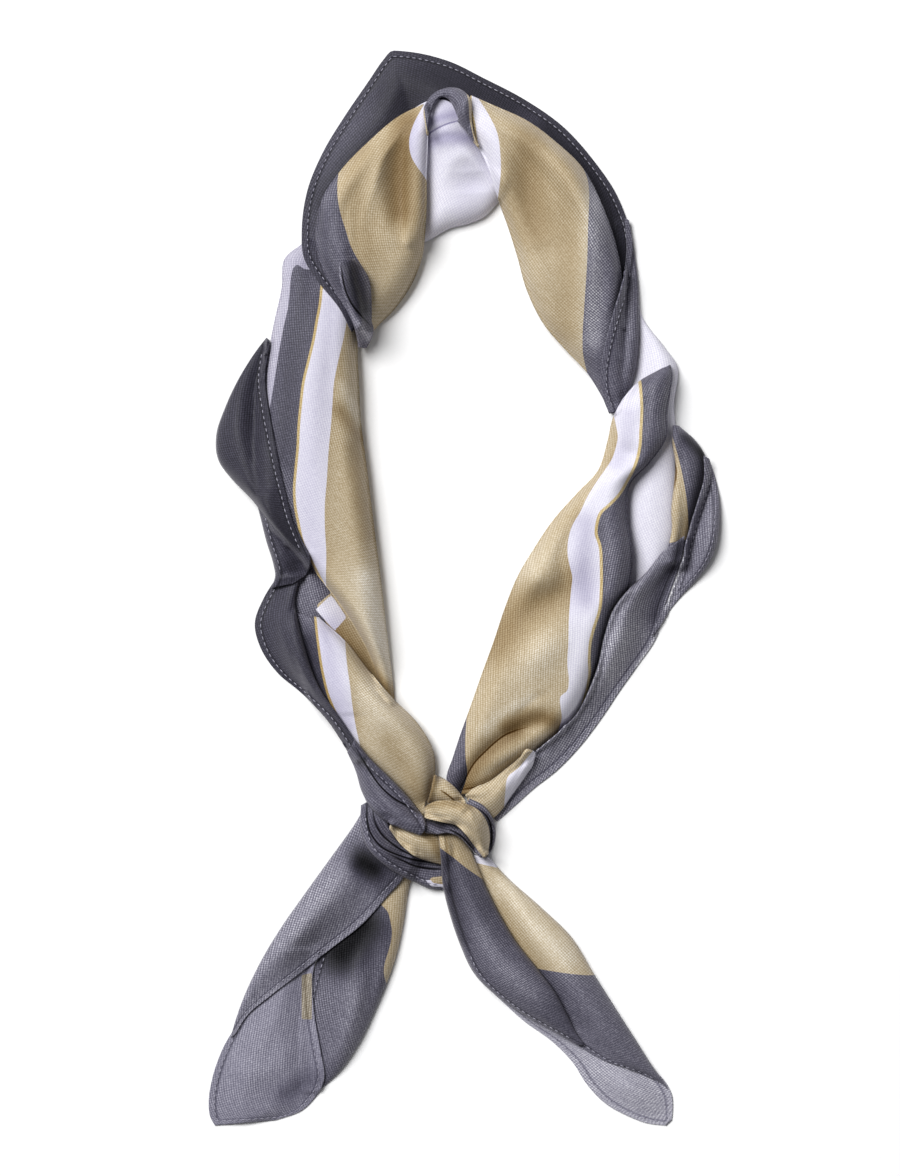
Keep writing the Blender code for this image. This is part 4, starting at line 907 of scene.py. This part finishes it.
def depth_with_tuck_shade(tree, piece):
    """How deep the cloth's colour is, with painted shade along the bottoms of its tucks."""
    depth = add_node(tree, "ShaderNodeAttribute", {"attribute_name": "depth"}, output="Fac")
    for number in range(1, len(tuck_lines(piece)) + 1):
        name = {"attribute_name": "tuck_%d" % number}
        place = add_node(tree, "ShaderNodeAttribute", name, output="Vector")
        parts = add_node(tree, "ShaderNodeSeparateXYZ", None, {"Vector": place}).node.outputs
        off = add_node(tree, "ShaderNodeMath", SIZE_ONLY, {0: parts["X"]})
        fall = {"Value": off, "From Max": TUCK_HALF, "To Min": TUCK_SHADE, "To Max": 0.0}
        dark = add_node(tree, "ShaderNodeMapRange", EASED, fall)
        depth = add_node(tree, "ShaderNodeMath", TIMES_AND_ADD, {0: dark, 1: parts["Y"], 2: depth})
    return depth


def woven_depth(tree, depth, noise, reach):
    """The depth and half of its base, turned either way by a part of the weave."""
    turn = {"Value": noise, **NOISE_SPAN, "To Min": HALF_BASE + reach, "To Max": HALF_BASE - reach}
    turned = add_node(tree, "ShaderNodeMapRange", EASED, turn)
    return add_node(tree, "ShaderNodeMath", PLUS, {0: depth, 1: turned})


def hem_height(tree, distance, height):
    """The height of the cloth, with the rolled hem's double thickness along its edge."""
    roll = {
        "Value": distance,
        "From Min": HEM_INSET - HEM_BLEND,
        "From Max": HEM_INSET + HEM_BLEND,
        "To Min": HEM_RISE,
        "To Max": 0.0,
    }
    rise = add_node(tree, "ShaderNodeMapRange", EASED, roll)
    return add_node(tree, "ShaderNodeMath", PLUS, {0: height, 1: rise})


def depth_with_groove_shade(tree, distance, depth):
    """The depth, with painted shade in the groove where the hem's roll meets the cloth."""
    inward = {0: distance, 1: GROOVE_INSET}
    gap = add_node(tree, "ShaderNodeMath", {"operation": "SUBTRACT"}, inward)
    off = add_node(tree, "ShaderNodeMath", SIZE_ONLY, {0: gap})
    fall = {"Value": off, "From Max": GROOVE_HALF, "To Min": GROOVE_SHADE, "To Max": 0.0}
    groove = add_node(tree, "ShaderNodeMapRange", EASED, fall)
    return add_node(tree, "ShaderNodeMath", PLUS, {0: depth, 1: groove})


def silk_twill(piece):
    """Silk twill, woven and then printed: a satin gloss, fine slanting ribs, and painted shade and
    light over its folds.
    """
    material, tree, shader = new_material("silk_twill_" + piece.name)
    cloth = add_node(tree, "ShaderNodeAttribute", {"attribute_name": "cloth"}, output="Vector")
    distance = add_node(tree, "ShaderNodeSeparateXYZ", None, {"Vector": cloth}, output="Z")
    place = add_node(tree, "ShaderNodeTexCoord", output="Object")

    tilt = {"Vector": cloth, "Rotation": (0, 0, RIB_TILT)}
    turned = add_node(tree, "ShaderNodeMapping", None, tilt)
    stretch = {"Vector": turned, "Scale": (1 / STREAK_WIDTH, 1 / STREAK_LENGTH, 0)}
    stretched = add_node(tree, "ShaderNodeMapping", None, stretch)
    fibres = {"Vector": stretched, "Scale": 1.0, "Detail": 3.0}
    streak = add_node(tree, "ShaderNodeTexNoise", None, fibres)
    waves = {"Vector": turned, "Scale": RIB_WAVES / RIB_PITCH, "Distortion": RIB_WARP, "Detail": 1.0}
    ribs, picks = (
        add_node(tree, "ShaderNodeTexWave", {"bands_direction": way}, waves, output="Fac")
        for way in ("X", "Y")
    )
    specks = {"Vector": place, "Scale": 1 / GRAIN_SIZE, "Detail": 1.0}
    grain = add_node(tree, "ShaderNodeTexNoise", None, specks)
    spread = {"Vector": place, "Scale": 1 / PATCH_SIZE}
    patches = add_node(tree, "ShaderNodeTexNoise", None, spread)
    swell = {
        "Vector": place,
        "Scale": 1 / RUMPLE_SIZE,
        "Detail": 2.5,
        "Roughness": RUMPLE_ROUGHNESS,
    }
    rumple = add_node(tree, "ShaderNodeTexNoise", None, swell)

    # The depth starts from the fold's painted shade and light, with painted shade along its tucks
    depth = depth_with_tuck_shade(tree, piece)
    depth = woven_depth(tree, depth, grain, GRAIN_DEPTH)
    depth = woven_depth(tree, depth, streak, STREAK_DEPTH)
    rib_turn, pick_turn = (
        add_node(tree, "ShaderNodeMapRange", None, {"Value": wave, "To Min": reach, "To Max": -reach})
        for wave, reach in ((ribs, RIB_DEPTH), (picks, PICK_DEPTH))
    )
    dots = add_node(tree, "ShaderNodeMath", PLUS, {0: rib_turn, 1: pick_turn})
    clear = {"Value": patches, **NOISE_SPAN, "To Min": LEAST_CLEAR}
    clearness = add_node(tree, "ShaderNodeMapRange", EASED, clear)
    depth = add_node(tree, "ShaderNodeMath", TIMES_AND_ADD, {0: dots, 1: clearness, 2: depth})
    height = add_node(tree, "ShaderNodeMath", TIMES, {0: ribs, 1: RIB_HEIGHT})
    for swelling, rise in ((streak, SLUB_HEIGHT), (rumple, RUMPLE_HEIGHT)):
        added = {0: swelling, 1: rise, 2: height}
        height = add_node(tree, "ShaderNodeMath", TIMES_AND_ADD, added)
    if piece.hems:
        height = hem_height(tree, distance, height)
        # Painted shade in the groove along the hem
        depth = depth_with_groove_shade(tree, distance, depth)

    ink = {"Color": printed_colour(tree, piece), "Gamma": depth}
    slubs = {"Value": streak, **NOISE_SPAN, "To Min": SMOOTHEST, "To Max": ROUGHEST}
    relief = {"Height": height, "Distance": 1.0, "Strength": 1.0}
    deep = {
        "Value": depth,
        "From Min": GLOSS_FADES,
        "From Max": GLOSS_GONE,
        "To Min": GLOSS,
        "To Max": DEEP_GLOSS,
    }
    gloss = add_node(tree, "ShaderNodeMapRange", EASED, deep)
    sheen = {0: gloss, 1: SHEEN_SHARE}
    feeds = {
        "Base Color": add_node(tree, "ShaderNodeGamma", None, ink),
        "Roughness": add_node(tree, "ShaderNodeMapRange", EASED, slubs),
        "Normal": add_node(tree, "ShaderNodeBump", None, relief),
        "Specular IOR Level": gloss,
        "Sheen Weight": add_node(tree, "ShaderNodeMath", TIMES, sheen),
    }
    for socket, feed in feeds.items():
        tree.links.new(feed, shader.inputs[socket])
    shader.inputs["Sheen Roughness"].default_value = SHEEN_ROUGHNESS
    shader.inputs["Sheen Tint"].default_value = linear(SHEEN_TINT)
    return material


def spun_thread():
    """Spun silk sewing thread: dull, a little lighter than the cloth, with a fine twist."""
    material, tree, shader = new_material("spun_silk_thread")
    place = add_node(tree, "ShaderNodeTexCoord", output="Object")
    fineness = {"Vector": place, "Scale": 1 / STITCH_THICK}
    twist = add_node(tree, "ShaderNodeTexNoise", None, fineness)
    share = add_node(tree, "ShaderNodeMapRange", EASED, {"Value": twist, **NOISE_SPAN})
    shades = {0: share, 6: linear(INKS["reverse"]), 7: linear(INKS["thread"])}
    colour = add_node(tree, "ShaderNodeMix", OVERPRINT, shades, output=2)
    tree.links.new(colour, shader.inputs["Base Color"])
    shader.inputs["Roughness"].default_value = THREAD_ROUGHNESS
    return material


def smooth_curve(knots, values, places):
    """Values read at the places on a smooth curve through the knots."""
    slopes = np.gradient(values, knots, axis=0)
    cell = np.clip(np.searchsorted(knots, places) - 1, 0, len(knots) - 2)
    span = (knots[cell + 1] - knots[cell])[:, None]
    step = (places[:, None] - knots[cell][:, None]) / span
    start = values[cell] * (1 + 2 * step) * (1 - step) ** 2
    start_slope = slopes[cell] * span * step * (1 - step) ** 2
    end = values[cell + 1] * step**2 * (3 - 2 * step)
    end_slope = slopes[cell + 1] * span * step**2 * (step - 1)
    return start + start_slope + end + end_slope


def in_metres(points):
    return np.array(points, float) * HUNDREDTH * (WIDTH, LENGTH) - (WIDTH / 2, LENGTH / 2)


def walk_lengths(steps):
    """How far each point of a path is along it, from the steps between them."""
    return np.concatenate(([0.0], np.cumsum(np.hypot(*steps.T))))


def eased(share):
    return share * share * (3 - 2 * share)


def smooth_line(points):
    """The line's points in metres, with more of them between on a smooth curve."""
    line = in_metres(points)
    knots = walk_lengths(np.diff(line, axis=0))
    count = max(2, int(np.ceil(knots[-1] / LINE_STEP)) + 1)
    return smooth_curve(knots, line, np.linspace(0, knots[-1], count))


def beside(line, x, y, open_ended):
    """How far each place is from a line, more than nought on its left hand, and how far along."""
    start = line[:-1]
    step = np.diff(line, axis=0)
    size = np.hypot(*step.T)
    gap_x = x.reshape(-1, 1) - start[:, 0]
    gap_y = y.reshape(-1, 1) - start[:, 1]
    share = (gap_x * step[:, 0] + gap_y * step[:, 1]) / size**2
    low = np.zeros(len(step))
    high = np.ones(len(step))
    if open_ended:
        low[0] = -np.inf
        high[-1] = np.inf
    held = np.clip(share, low, high)
    off = np.hypot(gap_x - held * step[:, 0], gap_y - held * step[:, 1])
    nearest = off.argmin(axis=1)
    rows = np.arange(len(nearest))
    cross = step[nearest, 0] * gap_y[rows, nearest] - step[nearest, 1] * gap_x[rows, nearest]
    ends = walk_lengths(step)
    run = (ends[nearest] + held[rows, nearest] * size[nearest]) / ends[-1]
    signed = np.where(cross < 0, -1, 1) * off[rows, nearest]
    return signed.reshape(x.shape), run.reshape(x.shape)


def print_side(points, x, y):
    """How far each place lies inside an ink's area."""
    if points[0] != points[-1]:
        return beside(smooth_line(points), x, y, True)[0]
    corners = in_metres(points)
    sides = [beside(corners[i : i + 2], x, y, True)[0] for i in range(len(corners) - 1)]
    return np.minimum.reduce(sides)


def tuck_place(points, x, y):
    """How far each place lies from a tuck, and how open the tuck is there."""
    off, run = beside(smooth_line(points), x, y, True)
    opening = np.clip(TUCK_ENDS * np.minimum(run, 1 - run), 0, 1)
    return np.stack((off, opening, np.zeros_like(off)), axis=-1)


def crease_relief(piece, x, y):
    """Height of the fold's own ridges, dents and pleats over its grid."""
    relief = np.zeros_like(x)
    for kind, height, reach, points in piece.creases:
        off, run = beside(smooth_line(points), x, y, False)
        share = off / (reach * MM)
        if kind == "soft":
            form = np.exp(-(share**2))
        elif kind in ("sharp", "tuck"):
            form = np.exp(-np.abs(share))
        else:
            form = eased(np.clip(off / PLEAT_RAMP, 0, 1)) * np.exp(-np.clip(share, 0, None))
        relief += height * MM * form * np.sin(np.pi * (FADE + (1 - 2 * FADE) * run))
    return relief


def painted_shade_depth(piece, x, y):
    """The painted shade over the fold's grid that darkens its ink, painted light where less than
    nought.
    """
    depth = piece.depth - DENT_SHADE * crease_relief(piece, x, y) / MM
    for deeper, reach, points in piece.lustres:
        off, _ = beside(smooth_line(points), x, y, False)
        depth = depth + deeper * np.exp(-((off / (reach * MM)) ** 2))
    return depth


def section_rows(piece, places):
    """Left points, right points and lofts at shares of the piece's length, and that length."""
    table = np.array(piece.outline, float)
    left = in_metres(table[:, 0:2])
    right = in_metres(table[:, 2:4])
    knots = walk_lengths(np.diff((left + right) / 2, axis=0))
    length = knots[-1]
    values = np.hstack((left, right, table[:, 4:5] * LOFT))
    rows = smooth_curve(knots / length, values, places)
    return rows[:, 0:2], rows[:, 2:4], rows[:, 4], length


def across_shares(count):
    """Shares across a piece, closer together at its edges."""
    even = np.linspace(0, 1, count + 1)
    return CROWDING * (1 - np.cos(np.pi * even)) / 2 + (1 - CROWDING) * even


def side_ramp(distance, side):
    """How far the cloth has risen at a distance from its edge: a fold turns over sharply."""
    if side == "fold":
        share = np.clip(distance / FOLD_ROUNDING, 0, 1)
        return np.sqrt(1 - (1 - share) ** 2)
    return eased(np.clip(distance / HEM_SLOPE, 0, 1))


class Ground:
    """Heights of what has been laid so far, on a grid of square cells seen from above."""

    def __init__(self):
        self.origin = np.array((-WIDTH / 2 - MAP_MARGIN, -LENGTH / 2 - MAP_MARGIN))
        size = (np.array((WIDTH, LENGTH)) + 2 * MAP_MARGIN) / MAP_CELL
        self.heights = np.full(np.ceil(size).astype(int) + 1, -LAYER_GAP)
        self.tops = np.full(self.heights.shape, -1)

    def near(self):
        """The highest height in each cell and the four beside it."""
        heights = self.heights
        padded = np.pad(heights, 1, mode="edge")
        sides = (padded[:-2, 1:-1], padded[2:, 1:-1], padded[1:-1, :-2], padded[1:-1, 2:])
        return np.maximum.reduce((heights, *sides))

    def soften(self, heights, reach):
        """The mean height within the reach of each cell, taken three times for a soft fall-off."""
        half = max(1, round(reach / MAP_CELL / 2))
        for _ in range(3):
            for axis in (0, 1):
                pad = [(0, 0), (0, 0)]
                pad[axis] = (half + 1, half)
                total = np.cumsum(np.pad(heights, pad, mode="edge"), axis=axis)
                ahead = np.take(total, range(2 * half + 1, total.shape[axis]), axis=axis)
                behind = np.take(total, range(total.shape[axis] - 2 * half - 1), axis=axis)
                heights = (ahead - behind) / (2 * half + 1)
        return heights

    def read(self, heights, x, y):
        """Heights between the cell centres nearest to each point."""
        u = (x - self.origin[0]) / MAP_CELL
        v = (y - self.origin[1]) / MAP_CELL
        i = np.clip(np.floor(u).astype(int), 0, heights.shape[0] - 2)
        j = np.clip(np.floor(v).astype(int), 0, heights.shape[1] - 2)
        u = np.clip(u - i, 0, 1)
        v = np.clip(v - j, 0, 1)
        low = heights[i, j] * (1 - v) + heights[i, j + 1] * v
        high = heights[i + 1, j] * (1 - v) + heights[i + 1, j + 1] * v
        return low * (1 - u) + high * u

    def lay(self, points, triangles, number):
        """Raises the heights to those of a finished piece, and says which pieces lie under it."""
        corners = points[triangles]
        longest = np.abs(corners - np.roll(corners, 1, axis=1))[..., :2].max()
        count = int(np.ceil(longest / SAMPLE_STEP))
        shares = [(i, j, count - i - j) for i in range(count + 1) for j in range(count + 1 - i)]
        weights = np.array(shares) / count
        samples = np.einsum("kc,tcd->tkd", weights, corners).reshape(-1, 3)
        cells = np.round((samples[:, :2] - self.origin) / MAP_CELL).astype(int)
        place = (cells[:, 0], cells[:, 1])
        under = set(self.tops[place].tolist()) - {-1}
        np.maximum.at(self.heights, place, samples[:, 2])
        self.tops[place] = number
        return sorted(under)


def split_weights(count):
    """Weights of a cell's four corners at sample places, for both ways to split it."""
    rows = []
    for s in np.linspace(0, 1, count + 1):
        for t in np.linspace(0, 1, count + 1):
            rows.append((1 - max(s, t), max(s - t, 0), min(s, t), max(t - s, 0)))
            rows.append((max(1 - s - t, 0), min(s, 1 - t), max(s + t - 1, 0), min(t, 1 - s)))
    return np.array(rows)


SPLITS = split_weights(CELL_SPLITS)


def cell_corners(grid):
    return np.stack((grid[:-1, :-1], grid[1:, :-1], grid[1:, 1:], grid[:-1, 1:]), axis=-1)


def shortfall(ground, floor, grids):
    """How far each sample place of the grids lies below the gap over the floor."""
    x, y, z = (np.einsum("ijc,kc->ijk", cell_corners(grid), SPLITS) for grid in grids)
    return ground.read(floor, x, y) + LAYER_GAP - z


def seat(ground, x, y, z, under):
    """Raises z where its underside is too low, eases the rise, then drops it till it touches."""
    floor = ground.near()
    share = SPLITS / (SPLITS**2).sum(axis=1, keepdims=True)
    first = z
    for _ in range(SEATING_ROUNDS):
        short = shortfall(ground, floor, under(x, y, z))
        if short.max() < TOUCHING:
            break
        lift = (np.clip(short, 0, None)[..., None] * share).max(axis=2)
        raised = np.zeros_like(z)
        raised[:-1, :-1] = lift[..., 0]
        raised[1:, :-1] = np.maximum(raised[1:, :-1], lift[..., 1])
        raised[1:, 1:] = np.maximum(raised[1:, 1:], lift[..., 2])
        raised[:-1, 1:] = np.maximum(raised[:-1, 1:], lift[..., 3])
        z = z + raised
    raised = z - first
    for _ in range(EASING_ROUNDS):
        padded = np.pad(raised, 1, mode="edge")
        sides = padded[:-2, 1:-1] + padded[2:, 1:-1] + padded[1:-1, :-2] + padded[1:-1, 2:]
        raised = np.maximum(raised, sides / 4)
    z = first + raised
    return z + shortfall(ground, floor, under(x, y, z)).max()


def grid_normals(x, y, z):
    """The grid's normals, all turned to face up."""
    along = np.stack([np.gradient(c, axis=0) for c in (x, y, z)], axis=-1)
    across = np.stack([np.gradient(c, axis=1) for c in (x, y, z)], axis=-1)
    normal = np.cross(across, along)
    normal /= np.linalg.norm(normal, axis=-1, keepdims=True)
    return normal * np.where(normal[..., 2:3] < 0, -1, 1)


def wall_under(x, y, z):
    """The underside of a single wall whose top is the grid."""
    normal = grid_normals(x, y, z)
    return tuple(c - CLOTH_WALL * normal[..., i] for i, c in enumerate((x, y, z)))


def same(x, y, z):
    return x, y, z


def grid_places(piece):
    """The piece's grid from above, its lofts, and how far each place is from all four edges."""
    ends = section_rows(piece, np.linspace(0, 1, WIDTH_READINGS))
    widest = np.hypot(*(ends[1] - ends[0]).T).max()
    length = ends[3]
    along = np.linspace(0, 1, max(LEAST_ROWS, round(length / piece.cell)) + 1)
    across = across_shares(max(LEAST_COLUMNS, round(widest / piece.cell)))
    left, right, loft, _ = section_rows(piece, along)
    span = right - left
    width = np.hypot(*span.T)[:, None] * np.ones(len(across))
    x = left[:, 0:1] + span[:, 0:1] * across
    y = left[:, 1:2] + span[:, 1:2] * across
    run = along[:, None] * np.ones(len(across)) * length
    return x, y, loft, {
        "left": across * width,
        "right": (1 - across) * width,
        "start": run,
        "end": length - run,
    }


def laid_grids(piece, ground, x, y, loft, edges):
    """The heights of the piece's upper and lower side once it has settled on the ground."""
    ramp = side_ramp(edges["left"], piece.left) * side_ramp(edges["right"], piece.right)
    rise = loft[:, None] * ramp / max(ramp.max(), NARROW_RISE)
    relief = crease_relief(piece, x, y) * ramp
    floor = ground.near()
    cover = np.maximum(floor, ground.soften(floor, SETTLE))
    crest = np.maximum(cover, ground.soften(cover, SETTLE_CREST))
    edge = ground.read(floor, x, y) + LAYER_GAP
    over = edge + (ground.read(crest, x, y) + LAYER_GAP - edge) * ramp
    if piece.form == "sheet":
        z = seat(ground, x, y, over + CLOTH_WALL + rise + relief, wall_under)
        return z, None
    under = edge + (ground.read(cover, x, y) + LAYER_GAP - edge) * ramp
    middle = np.abs(2 * edges["left"] / (edges["left"] + edges["right"]) - 1)
    turned = np.clip((middle - TURN_UP) / (1 - TURN_UP), 0, 1) ** 2
    seam = rise.max(axis=1, keepdims=True) * SEAM_HEIGHT
    low = seat(ground, x, y, under + seam * turned, same)
    high = np.maximum(over + rise + relief, low + seam * (1 - turned))
    least = (2 * CLOTH_WALL + SLEEVE_OPENING) * np.clip((1 - middle) / TAPER, 0, 1)
    high = np.maximum(high, low + least)
    high[:, 0] = low[:, 0]
    high[:, -1] = low[:, -1]
    return high, low


def round_trip(grid, sleeve, back=None):
    """The upper grid's values, followed on a sleeve by the lower grid's on the way back."""
    if not sleeve:
        return grid
    back = grid if back is None else back
    return np.concatenate((grid, back[:, ::-1][:, 1:]), axis=1)


def finished_mesh(name, shape):
    mesh = bpy.data.meshes.new(name)
    shape.to_mesh(mesh)
    shape.free()
    return mesh


def placed(name, data):
    item = bpy.data.objects.new(name, data)
    bpy.context.scene.collection.objects.link(item)
    return item


def warped_grid(name, points, values):
    """A mesh grid whose vertices go to the points and carry the values, with welded seams."""
    shape = bmesh.new()
    rows, columns = points.shape[:2]
    bmesh.ops.create_grid(shape, x_segments=columns - 1, y_segments=rows - 1, size=0.5)
    layers = []
    for key, grid in values.items():
        if grid.ndim == 3:
            layers.append((shape.verts.layers.float_vector.new(key), grid.reshape(-1, 3).tolist()))
        else:
            layers.append((shape.verts.layers.float.new(key), grid.ravel().tolist()))
    for number, (vertex, point) in enumerate(zip(shape.verts, points.reshape(-1, 3).tolist())):
        vertex.co = point
        for layer, rows_of in layers:
            vertex[layer] = rows_of[number]
    bmesh.ops.remove_doubles(shape, verts=shape.verts, dist=TOUCHING)
    bmesh.ops.recalc_face_normals(shape, faces=shape.faces)
    for face in shape.faces:
        face.smooth = True
    return finished_mesh(name, shape)


def upward(mesh):
    """Turns an open sheet over if most of it faces down."""
    facing = sum(face.normal.z * face.area for face in mesh.polygons)
    if facing < 0:
        mesh.flip_normals()


def evaluated(item):
    """Points and triangles of the finished piece."""
    graph = bpy.context.evaluated_depsgraph_get()
    solid = item.evaluated_get(graph)
    mesh = solid.to_mesh()
    mesh.calc_loop_triangles()
    points = np.empty(len(mesh.vertices) * 3, np.float32)
    mesh.vertices.foreach_get("co", points)
    triangles = np.empty(len(mesh.loop_triangles) * 3, np.int32)
    mesh.loop_triangles.foreach_get("vertices", triangles)
    solid.to_mesh_clear()
    return points.reshape(-1, 3).astype(float), triangles.reshape(-1, 3)


def flat_size(points):
    """The width and length of the strip that was folded into the grid, measured over its bends."""
    girths = np.linalg.norm(np.diff(points, axis=1), axis=2).sum(axis=1)
    lengths = np.linalg.norm(np.diff(points, axis=0), axis=2).sum(axis=0)
    return max(float(girths.mean()), LEAST_FLAT), float(lengths.mean())


def make_piece(piece, ground):
    """The piece's object, its flat size, and the numbers of the pieces that it lies on."""
    x, y, loft, edges = grid_places(piece)
    high, low = laid_grids(piece, ground, x, y, loft, edges)
    sleeve = low is not None
    hems = [edges[edge] for edge, _, _ in piece.hems]
    hem = np.minimum.reduce(hems) if hems else np.full(x.shape, NO_HEM)
    values = {
        # Painted shade and light over the fold, carried as a depth of colour
        "depth": painted_shade_depth(piece, x, y),
        "cloth": np.stack((edges["left"], edges["start"], hem), axis=-1),
    }
    for number, (_, _, points) in enumerate(piece.prints, 1):
        values["print_%d" % number] = print_side(points, x, y)
    for number, points in enumerate(tuck_lines(piece), 1):
        values["tuck_%d" % number] = tuck_place(points, x, y)
    values = {key: round_trip(grid, sleeve) for key, grid in values.items()}
    top = np.stack((x, y, high), axis=-1)
    back = np.stack((x, y, low), axis=-1) if sleeve else None
    surface = round_trip(top, sleeve, back)
    mesh = warped_grid(piece.name + "_cloth", surface, values)
    if not sleeve:
        upward(mesh)
    mesh.materials.append(silk_twill(piece))
    item = placed(piece.name + "_cloth", mesh)
    wall = item.modifiers.new("Cloth", "SOLIDIFY")
    wall.thickness = CLOTH_WALL
    wall.offset = -1.0
    bpy.context.view_layer.update()
    under = ground.lay(*evaluated(item), PIECES.index(piece))
    return item, flat_size(surface), under


def seam_path(piece, edge, start, stop):
    """The line of stitches along one hemmed edge, seen from above, in even short steps."""
    x, y, _, edges = grid_places(piece)
    grids = np.stack((x, y, edges[edge]))
    if edge in ("start", "end"):
        grids = grids.transpose(0, 2, 1)
    if edge in ("right", "end"):
        grids = grids[:, :, ::-1]
    last = grids.shape[1] - 1
    lines = grids[:, round(start * last) : round(stop * last) + 1].transpose(1, 0, 2)
    places = [
        (np.interp(HEM_INSET, off, across), np.interp(HEM_INSET, off, up))
        for across, up, off in lines
        if off.max() > 2 * HEM_INSET
    ]
    return np.array(places).reshape(-1, 2)


def walked(path, pitch):
    """Points a pitch apart along a path, and the way the path runs there."""
    if len(path) < 2:
        return []
    ends = walk_lengths(np.diff(path, axis=0))
    stops = np.arange(pitch / 2, ends[-1], pitch)
    at = np.stack([np.interp(stops, ends, path[:, i]) for i in (0, 1)], axis=-1)
    ahead = np.stack([np.interp(stops + pitch / 4, ends, path[:, i]) for i in (0, 1)], axis=-1)
    return list(zip(at, ahead))


def sew(piece, item, thread):
    """The stitches of the piece's hems, one small spindle of thread each."""
    points, triangles = evaluated(item)
    tree = BVHTree.FromPolygons(points.tolist(), triangles.tolist())
    shape = bmesh.new()
    down = Vector((0, 0, -1))
    for hem in piece.hems:
        for pair in walked(seam_path(piece, *hem), STITCH_PITCH):
            spots = [tree.ray_cast(Vector((*place, DROP_HEIGHT)), down) for place in pair]
            if spots[0][0] is None or spots[1][0] is None:
                continue
            run = (spots[1][0] - spots[0][0]).normalized()
            normal = spots[0][1]
            side = normal.cross(run).normalized()
            turn = Matrix((run, side, run.cross(side))).transposed().to_4x4()
            size = Matrix.Diagonal((STITCH_RUN, STITCH_THICK, STITCH_THICK, 1.0))
            place = Matrix.Translation(spots[0][0] + normal * STITCH_LIFT)
            bmesh.ops.create_uvsphere(
                shape,
                u_segments=STITCH_SIDES,
                v_segments=STITCH_RINGS,
                radius=0.5,
                matrix=place @ turn @ size,
            )
    for face in shape.faces:
        face.smooth = True
    mesh = finished_mesh(piece.name + "_stitches", shape)
    mesh.materials.append(thread)
    return placed(mesh.name, mesh)


def centring_shift(items):
    """What moves the bottom centre of the whole box to the origin."""
    points = np.concatenate([evaluated(item)[0] for item in items])
    low = points.min(axis=0)
    high = points.max(axis=0)
    return Matrix.Translation((-(low[0] + high[0]) / 2, -(low[1] + high[1]) / 2, -low[2]))


def make_neckerchief():
    """Every fold and its stitches, centred over the origin."""
    ground = Ground()
    made = [make_piece(piece, ground) for piece in PIECES]
    shift = centring_shift([item for item, _, _ in made])
    thread = spun_thread()
    for piece, (item, flat, under) in zip(PIECES, made):
        stitches = [sew(piece, item, thread)] if piece.hems else []
        item.data.transform(shift)
        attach(item, "root")
        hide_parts(piece.name)
        for seam in stitches:
            seam.data.transform(shift)
            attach(seam, "root")


# The photo's frame: the camera looks straight down from CAMERA_HEIGHT, and FRAME_HEIGHT is
# what it takes in at the height of the cloth
CAMERA_HEIGHT = 2.0
FRAME_HEIGHT = 0.4443
FRAME_CENTRE = (-0.0055, 0.0)
CLOTH_HEIGHT = 0.01
SENSOR = 36.0
FLOOR_SIZE = 6.0
FLOOR_DROP = 0.0001
TOOTH_SIZE = 1.1 * MM
BOARD_SHADES = ("#f7f7f7", "#fbfbfb")
BOARD_ROUGHNESS = 0.9
BOARD_GLOSS = 0.1
# A broad lamp up on the left of the photo throws the soft shadows, and a pale room fills them
KEY_PLACE = (-2.2, 2.2, 4.0)
KEY_SIZE = 3.0
KEY_POWER = 337.0
ROOM_COLOUR = "#f4f4f7"
ROOM_POWER = 0.2


def painted_board():
    """A matt white painted board: even, with a fine tooth that only shows close to."""
    material, tree, shader = new_material("white_painted_board")
    place = add_node(tree, "ShaderNodeTexCoord", output="Object")
    tooth = add_node(tree, "ShaderNodeTexNoise", None, {"Vector": place, "Scale": 1 / TOOTH_SIZE})
    shades = {0: tooth, 6: linear(BOARD_SHADES[0]), 7: linear(BOARD_SHADES[1])}
    colour = add_node(tree, "ShaderNodeMix", OVERPRINT, shades, output=2)
    tree.links.new(colour, shader.inputs["Base Color"])
    shader.inputs["Roughness"].default_value = BOARD_ROUGHNESS
    shader.inputs["Specular IOR Level"].default_value = BOARD_GLOSS
    return material


def make_floor():
    shape = bmesh.new()
    bmesh.ops.create_grid(shape, x_segments=1, y_segments=1, size=FLOOR_SIZE / 2)
    bmesh.ops.translate(shape, verts=shape.verts, vec=(0, 0, -FLOOR_DROP))
    mesh = finished_mesh("floor", shape)
    mesh.materials.append(painted_board())
    floor = placed("floor", mesh)


def make_light():
    lamp = bpy.data.lights.new("key", "AREA")
    lamp.shape = "DISK"
    lamp.size = KEY_SIZE
    lamp.energy = KEY_POWER
    item = placed("key", lamp)
    item.location = KEY_PLACE
    item.rotation_euler = (-Vector(KEY_PLACE)).to_track_quat("-Z", "Y").to_euler()


def make_world():
    world = bpy.data.worlds.new("pale_studio")
    world.use_nodes = True
    backdrop = world.node_tree.nodes["Background"]
    backdrop.inputs["Color"].default_value = linear(ROOM_COLOUR)
    backdrop.inputs["Strength"].default_value = ROOM_POWER
    bpy.context.scene.world = world
    bpy.context.scene.view_settings.view_transform = "Standard"


def make_camera():
    lens = bpy.data.cameras.new("camera")
    lens.sensor_width = SENSOR
    lens.lens = SENSOR * (CAMERA_HEIGHT - CLOTH_HEIGHT) / FRAME_HEIGHT
    camera = placed("camera", lens)
    camera.location = (*FRAME_CENTRE, CAMERA_HEIGHT)
    bpy.context.scene.camera = camera


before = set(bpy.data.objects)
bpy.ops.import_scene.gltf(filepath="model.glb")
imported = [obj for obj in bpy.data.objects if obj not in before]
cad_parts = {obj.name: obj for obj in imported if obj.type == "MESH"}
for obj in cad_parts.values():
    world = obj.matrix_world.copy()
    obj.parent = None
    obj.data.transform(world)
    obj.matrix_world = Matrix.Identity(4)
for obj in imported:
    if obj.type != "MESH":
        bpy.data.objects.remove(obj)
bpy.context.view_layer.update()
make_neckerchief()
make_floor()
make_light()
make_world()
make_camera()
